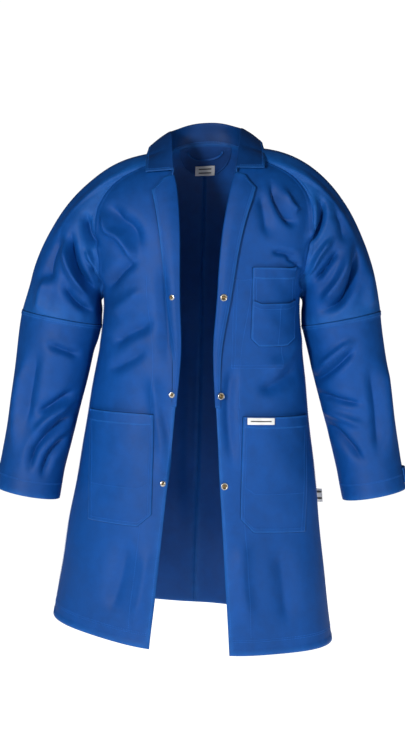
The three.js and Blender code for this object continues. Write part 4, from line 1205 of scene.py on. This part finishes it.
a, b = grid_of(40, 44)
u, v = place(mix(0.006, 0.994, a), b * PEN_HEIGHT / CHEST_HEIGHT)
rise = SEAT + 0.0013 + lift(a, b * PEN_HEIGHT / CHEST_HEIGHT) + 0.0016 * (4 * a * (1 - a)) ** 0.6 * b
pen, outer = sheet_on("pen_pocket_cloth", skins["front", 1], u, v, rise, rise + PATCH_CLOTH, cloth)
hang(pen, "front", 1, ["pen_pocket"])
cut(pen)
surface = Skin(outer, outward=1)
s, t = np.linspace(0.02, 0.98, 40), np.linspace(0.03, 0.97, 50)
rows = [run(surface, 0.03, s, 0.0001), run(surface, 0.97, s, 0.0001)]
rows += [run(surface, t, height, 0.0001) for height in (0.03, 0.97, 0.86)]
rows += [run(surface, 0.62, s, 0.0001)]
hang(stitches("pen_pocket_stitching", rows, thread), "front", 1)
# A painted shadow line along the pen pocket's mouth.
mouth = run(surface, t, 1.0, 0.0002)
hang(painted_shadow_line("pen_pocket_mouth_painted_shadow", [mouth]), "front", 1)

patch_pocket(
    "inner_breast_pocket", 1, INNER_X, INNER_TOP, INNER_WIDTH, INNER_HEIGHT, (0, 0, 0.016), 0.0045,
    skin_side=-1,
)

# The inner pocket's outline is sewn through the front, 1 mm inside its edges.
s = np.linspace(0, 1, 90)
left, right = INNER_X - 0.047, INNER_X + 0.047
foot = INNER_TOP - 0.169
x, z = mix(left, right, s), mix(foot, INNER_TOP, s)
skin = skins["front", 1]
rows = [run(skin, *on_front(1, x, foot + lift + 0 * x), CLOTH) for lift in (0.0, 0.006)]
rows += [run(skin, *on_front(1, edge + 0 * z, z), CLOTH) for edge in (left, left + 0.006, right)]
rows.append(run(skin, *on_front(1, x, INNER_TOP - 0.001 + 0 * x), CLOTH))
hang(stitches("inner_pocket_stitching", rows, thread), "front", 1)

# ---------------------------------------------------------------- labels

skin = skins["front", 1]
a, b = grid_of(24, 8)
u, v = on_front(1, LOWER_X - 0.056 + a * 0.050, LOWER_TOP - 0.014 + b * 0.013)
across = mix(0.056, 0.45, a)
rise = SEAT + 0.0034 + LOWER_BAG * (4 * across * (1 - across)) ** 0.55 + 0.0006
label, outer = sheet_on("pocket_label_cloth", skin, u, v, rise, rise + 0.0005, label_cloth)
hang(label, "front", 1, ["pocket_label"])
cut(label)
surface = Skin(outer, outward=1)
t, s = np.linspace(0.02, 0.98, 30), np.linspace(0.08, 0.92, 10)
rows = [run(surface, t, 0.08, 0.0), run(surface, t, 0.92, 0.0)]
rows += [run(surface, 0.02, s, 0.0), run(surface, 0.98, s, 0.0)]
sewn = stitches("pocket_label_stitching", rows, label_cloth, pitch=0.002, length=0.0014, thread=0.0003)
hang(sewn, "front", 1)
a, b = grid_of(16, 3)
u, v = mix(0.12, 0.88, a), mix(0.40, 0.56, b)
mark, outer = sheet_on("pocket_label_stripe", surface, u, v, 0.0, 0.00035, label_ink)
hang(mark, "front", 1)

FLAG_LOW, FLAG_HIGH, FLAG_REACH = -0.692, -0.666, 0.013


def flag_at(a, b, shift):
    z = mix(FLAG_LOW, FLAG_HIGH, b)
    v = v_of(z, HEM_Z, NECK_SEAM_Z)
    seam = skins["front", 1].at(0 * a + 1.0, v, CLOTH + RIDGE)
    curl = 0.0022 * np.sin(2.6 * a + 1.2 * b)
    return seam + points(a * FLAG_REACH - 0.0005, 0.001 + curl + shift, 0 * a)


a, b = grid_of(14, 18)
outer, inner = flag_at(a, b, -0.0003), flag_at(a, b, 0.0003)
flag = closed_up(slab("side_flag_label_cloth", outer, inner, label_cloth, edge_wear=0.001))
hang(flag, "front", 1, ["side_flag_label"])
cut(flag)
for count, share in enumerate((0.22, 0.70), 1):
    along, up = mix(0.12, 0.9, a), mix(share, share + 0.14, b)
    outer, inner = flag_at(along, up, -0.0007), flag_at(along, up, -0.0003)
    stripe = closed_up(slab(f"side_flag_stripe_{count}", outer, inner, label_ink))
    hang(stripe, "front", 1)

# ---------------------------------------------------------------- collar

BACK_SHARE = 0.55
STAND, COLLAR_SEAT = 0.036, 0.004
FOLD_HALF_WIDTH = 0.068
TIP_X, TIP_Z = 0.116, -0.046
COLLAR_COLS, STAND_ROWS, FALL_ROWS = 128, 12, 26
COLLAR_THICK = 0.0024
FOOT_DROP, CREST_OUT, CREST_UP = 0.003, 0.006, 0.008


def neckline(u):
    turn, sign = np.abs(u - 0.5) * 2, np.sign(u - 0.5)
    behind = 90 * np.minimum(turn / BACK_SHARE, 1)
    back = torso(180 - behind, neck_rise(behind))
    down = clamp((turn - BACK_SHARE) / (1 - BACK_SHARE))
    z = GORGE_Z * down**1.3
    edge = np.where(sign > 0, front_edge(1, z), front_edge(-1, z))
    front = torso(angle_at(edge, z), z) - points(0, COLLAR_SEAT * ease(down / 0.4), 0)
    p = np.where((turn < BACK_SHARE)[..., None], back, front)
    p[..., 0] *= sign
    return p


def collar_fold(u):
    base, front = neckline(u), ease((np.abs(u - 0.5) * 2 - 0.6) / 0.4)
    narrowed = mix(FOLD_HALF_WIDTH / NECK_HALF_WIDTH, 0.95, front)
    return points(
        base[..., 0] * narrowed, base[..., 1] * mix(0.92, 1.02, front),
        base[..., 2] + mix(STAND, 0.008, front) + COLLAR_SEAT,
    )


def collar_edge(u):
    turn, sign = np.abs(u - 0.5) * 2, np.sign(u - 0.5)
    down = clamp((turn - 0.5) / 0.5) ** 1.5
    z = mix(0, TIP_Z, down)
    reach = mix(NECK_HALF_WIDTH + 0.026, TIP_X, turn)
    behind = np.radians(turn / BACK_SHARE * 90)
    x = mix(reach * np.sin(behind), TIP_X, ease((turn - 0.45) / 0.3))
    y = np.where(turn < BACK_SHARE, 0.092 * np.cos(behind), 0.0)
    inside = np.minimum(x, half_width(z) * 0.97)
    front = torso(angle_at(inside, z), z)
    y = mix(y, front[..., 1] - 0.009, ease((turn - 0.5) / 0.3))
    return points(sign * x, y, z + mix(0.012, 0.003, down))


u = np.linspace(0, 1, COLLAR_COLS + 1)
u = np.where(np.abs(u - 0.5) < 1e-6, 0.5 + 1e-6, u)
foot = neckline(u) - points(0 * u, 0, FOOT_DROP)
fold, edge = collar_fold(u), collar_edge(u)
crest = mix(fold, edge, 0.35)
outward = unit(crest * np.array([1.0, 1.0, 0.0]))
end = ease((np.abs(u - 0.5) * 2 - 0.35) / 0.4)[:, None]
crest = crest + outward * mix(CREST_OUT, 0.0, end) + np.array([0, 0, 1.0]) * mix(CREST_UP, 0.0, end)
t = np.linspace(0, 1, STAND_ROWS + 1)[None, :-1, None]
stand = mix(foot[:, None], fold[:, None], t) + outward[:, None] * 0.004 * np.sin(math.pi * t)
t = np.linspace(0, 1, FALL_ROWS + 1)[None, :, None]
start, bend, tip = fold[:, None] + [0, 0, 0.001], crest[:, None], edge[:, None]
fall = (1 - t) ** 2 * start + 2 * t * (1 - t) * bend + t * t * tip
whole = np.concatenate([stand, fall], 1)
for _ in range(6):
    smooth = whole.copy()
    smooth[:, 1:-1] = 0.5 * whole[:, 1:-1] + 0.25 * (whole[:, :-2] + whole[:, 2:])
    whole[:, 1:-1] = smooth[:, 1:-1]
whole = worn(whole, 1)
collar_skin = Skin(refine(whole, 2), outward=1)
if collar_skin.n[len(collar_skin.p) // 2, -8, 2] < 0:
    collar_skin.n *= -1
half_thick = COLLAR_THICK / 2
# The collar is drawn in the darkened blue of painted shade.
collar = panel("collar_cloth", collar_skin, collar_painted_shade, low=-half_thick, high=half_thick, edge_wear=0.006)
hang(collar, "body", 1, ["collar_stand", "collar_fall"])
cut(collar)
s = np.linspace(0.012, 0.988, 260)
t = np.linspace(0.45, 0.985, 40)
rows = [run(collar_skin, s, 0.955, COLLAR_THICK / 2)]
rows += [run(collar_skin, e, t, COLLAR_THICK / 2) for e in (0.014, 0.986)]
rows += [run(collar_skin, s, 0.03, COLLAR_THICK / 2)]
hang(stitches("collar_stitching", rows, thread), "body", 1)

# ---------------------------------------------------------------- inside the back neck

HALF_MOON_WIDTH, HALF_MOON_DEPTH = 0.104, 0.062


def inside_back(x, z, height):
    """A place on the inner face of the backs, x from the centre line."""
    u, v = on_back(x, z)
    left = skins["back", 1].at(u, v, -height)
    right = skins["back", -1].at(u, v, -height)
    return np.where((x > 0)[..., None], left, right)


def inside_sheet(name, x, z, low, high, material):
    outer, inner = inside_back(x, z, high), inside_back(x, z, low)
    return closed_up(slab(name, outer, inner, material, edge_wear=0.004)), outer


a, b = grid_of(60, 30)
x = (a - 0.5) * HALF_MOON_WIDTH
top = neck_rise(angle_at(np.abs(x), BACK_RISE / 2)) - 0.005
z = mix(top - HALF_MOON_DEPTH * np.sqrt(1.02 - (2 * a - 1) ** 2), top, b)
facing, outer = inside_sheet("back_neck_facing_cloth", x, z, 0.0004, 0.0018, cloth_inside)
hang(facing, "body", 1, ["back_neck_facing"])
cut(facing)
surface = Skin(outer, outward=1)
t = np.linspace(0.03, 0.97, 90)
drop = 0.003 / HALF_MOON_DEPTH
rows = [run(surface, t, drop + 0.02, 0.0004)]
hang(stitches("back_neck_facing_stitching", rows, thread), "body", 1)

a, b = grid_of(24, 14)
x, z = (a - 0.5) * 0.040, mix(-0.046, -0.026, b)
label, outer = inside_sheet("size_label_cloth", x, z, 0.0022, 0.0028, label_cloth)
hang(label, "body", 1, ["size_label"])
cut(label)
for count, height in enumerate((-0.032, -0.040), 1):
    x, z = (a - 0.5) * 0.026, height + (b - 0.5) * 0.0022
    stripe, outer = inside_sheet(f"size_label_stripe_{count}", x, z, 0.0028, 0.0031, label_ink)
    hang(stripe, "body", 1)

low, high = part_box("hanger_loop")
low, high = np.array(low), np.array(high)
TAPE_WIDE, TAPE_THICK = 0.0042, 0.0013
a = np.linspace(0, 1, 61)
x = (a - 0.5) * 2
half = (high[0] - low[0]) / 2 - 0.002
centre_x = (low[0] + high[0]) / 2
z = high[2] - 0.002 - (high[2] - low[2] - 0.005) * np.sqrt(np.clip(1 - x**2, 0, 1))
back_y = inside_back(x * half, np.minimum(z, -0.004), 0.0052)[:, 1]
line = np.stack([centre_x + x * half, back_y - 0.0006, z + TILT * (x * half)], -1)
tangent = unit(np.gradient(line, axis=0))
toward = np.tile([0.0, -1.0, 0.0], (len(line), 1))
wide = np.cross(tangent, toward)
steps = np.linspace(-1, 1, 7)
strips = [(line + wide * k * TAPE_WIDE / 2, toward * TAPE_THICK, k * k) for k in steps]
outer = np.stack([place + thick * (1.05 - 0.35 * bow) for place, thick, bow in strips], 1)
inner = np.stack([place + thick * 0.175 * bow for place, thick, bow in strips], 1)
loop = closed_up(slab("hanger_loop_tape", outer, inner, cloth, edge_wear=0.001))
hang(loop, "hanger", 1, ["hanger_loop"])

# ---------------------------------------------------------------- camera, light and floor

scene = bpy.context.scene
VIEW_DISTANCE, VIEW_HEIGHT = 3.5, 1.5
EYE_Z, VIEW_MIDDLE_Z = -0.18, -0.45


def aim(obj, target):
    obj.rotation_euler = (Vector(target) - obj.location).to_track_quat("-Z", "Y").to_euler()


camera = bpy.data.objects.new("camera", bpy.data.cameras.new("camera"))
scene.collection.objects.link(camera)
camera.location = (0.0, -VIEW_DISTANCE, EYE_Z)
camera.rotation_euler = (math.pi / 2, 0, 0)
camera.data.sensor_fit = "VERTICAL"
camera.data.sensor_height = 24.0
camera.data.lens = 24.0 * VIEW_DISTANCE / VIEW_HEIGHT
camera.data.shift_y = (VIEW_MIDDLE_Z - EYE_Z) / VIEW_HEIGHT
scene.camera = camera


def area_light(name, place, target, size, power):
    light = bpy.data.lights.new(name, "AREA")
    light.shape = "RECTANGLE"
    light.size, light.size_y = size
    light.energy = power
    obj = bpy.data.objects.new(name, light)
    obj.location = place
    scene.collection.objects.link(obj)
    aim(obj, target)
    return obj


area_light("key", (-1.3, -2.8, 0.25), (0, 0, -0.45), (0.45, 0.5), 70)
area_light("fill", (1.7, -2.7, -0.2), (0, 0, -0.45), (0.5, 0.6), 24)
back_light = area_light("back", (0.6, 2.6, 0.6), (0, 0, -0.4), (1.4, 1.2), 26)
back_light.visible_glossy = False

# The world is white to the camera, and lights the coat only faintly.
world = bpy.data.worlds.new("studio")
scene.world = world
world.use_nodes = True
sky = world.node_tree
for background, strength in ((sky.nodes["Background"], 0.06), (node(sky, "ShaderNodeBackground"), 1.05)):
    background.inputs["Color"].default_value = (1, 1, 1, 1)
    background.inputs["Strength"].default_value = strength
seen = node(sky, "ShaderNodeMixShader")
sky.links.new(node(sky, "ShaderNodeLightPath").outputs["Is Camera Ray"], seen.inputs["Fac"])
sky.links.new(sky.nodes["Background"].outputs[0], seen.inputs[1])
sky.links.new(background.outputs[0], seen.inputs[2])
sky.links.new(seen.outputs[0], sky.nodes["World Output"].inputs["Surface"])
scene.view_settings.view_transform = "Standard"

FLOOR_Z = HEM_Z - 0.34
bpy.ops.mesh.primitive_circle_add(vertices=96, radius=2.2, fill_type="NGON", location=(0, 0, FLOOR_Z))
floor = bpy.context.object
floor.name = "floor"
floor_material = bpy.data.materials.new("pale_floor")
floor_material.use_nodes = True
floor_shader = floor_material.node_tree.nodes["Principled BSDF"]
floor_shader.inputs["Base Color"].default_value = (0.9, 0.9, 0.9, 1)
floor_shader.inputs["Roughness"].default_value = 0.8
floor_shader.inputs["Emission Color"].default_value = (1, 1, 1, 1)
floor_shader.inputs["Emission Strength"].default_value = 0.85
floor.data.materials.append(floor_material)
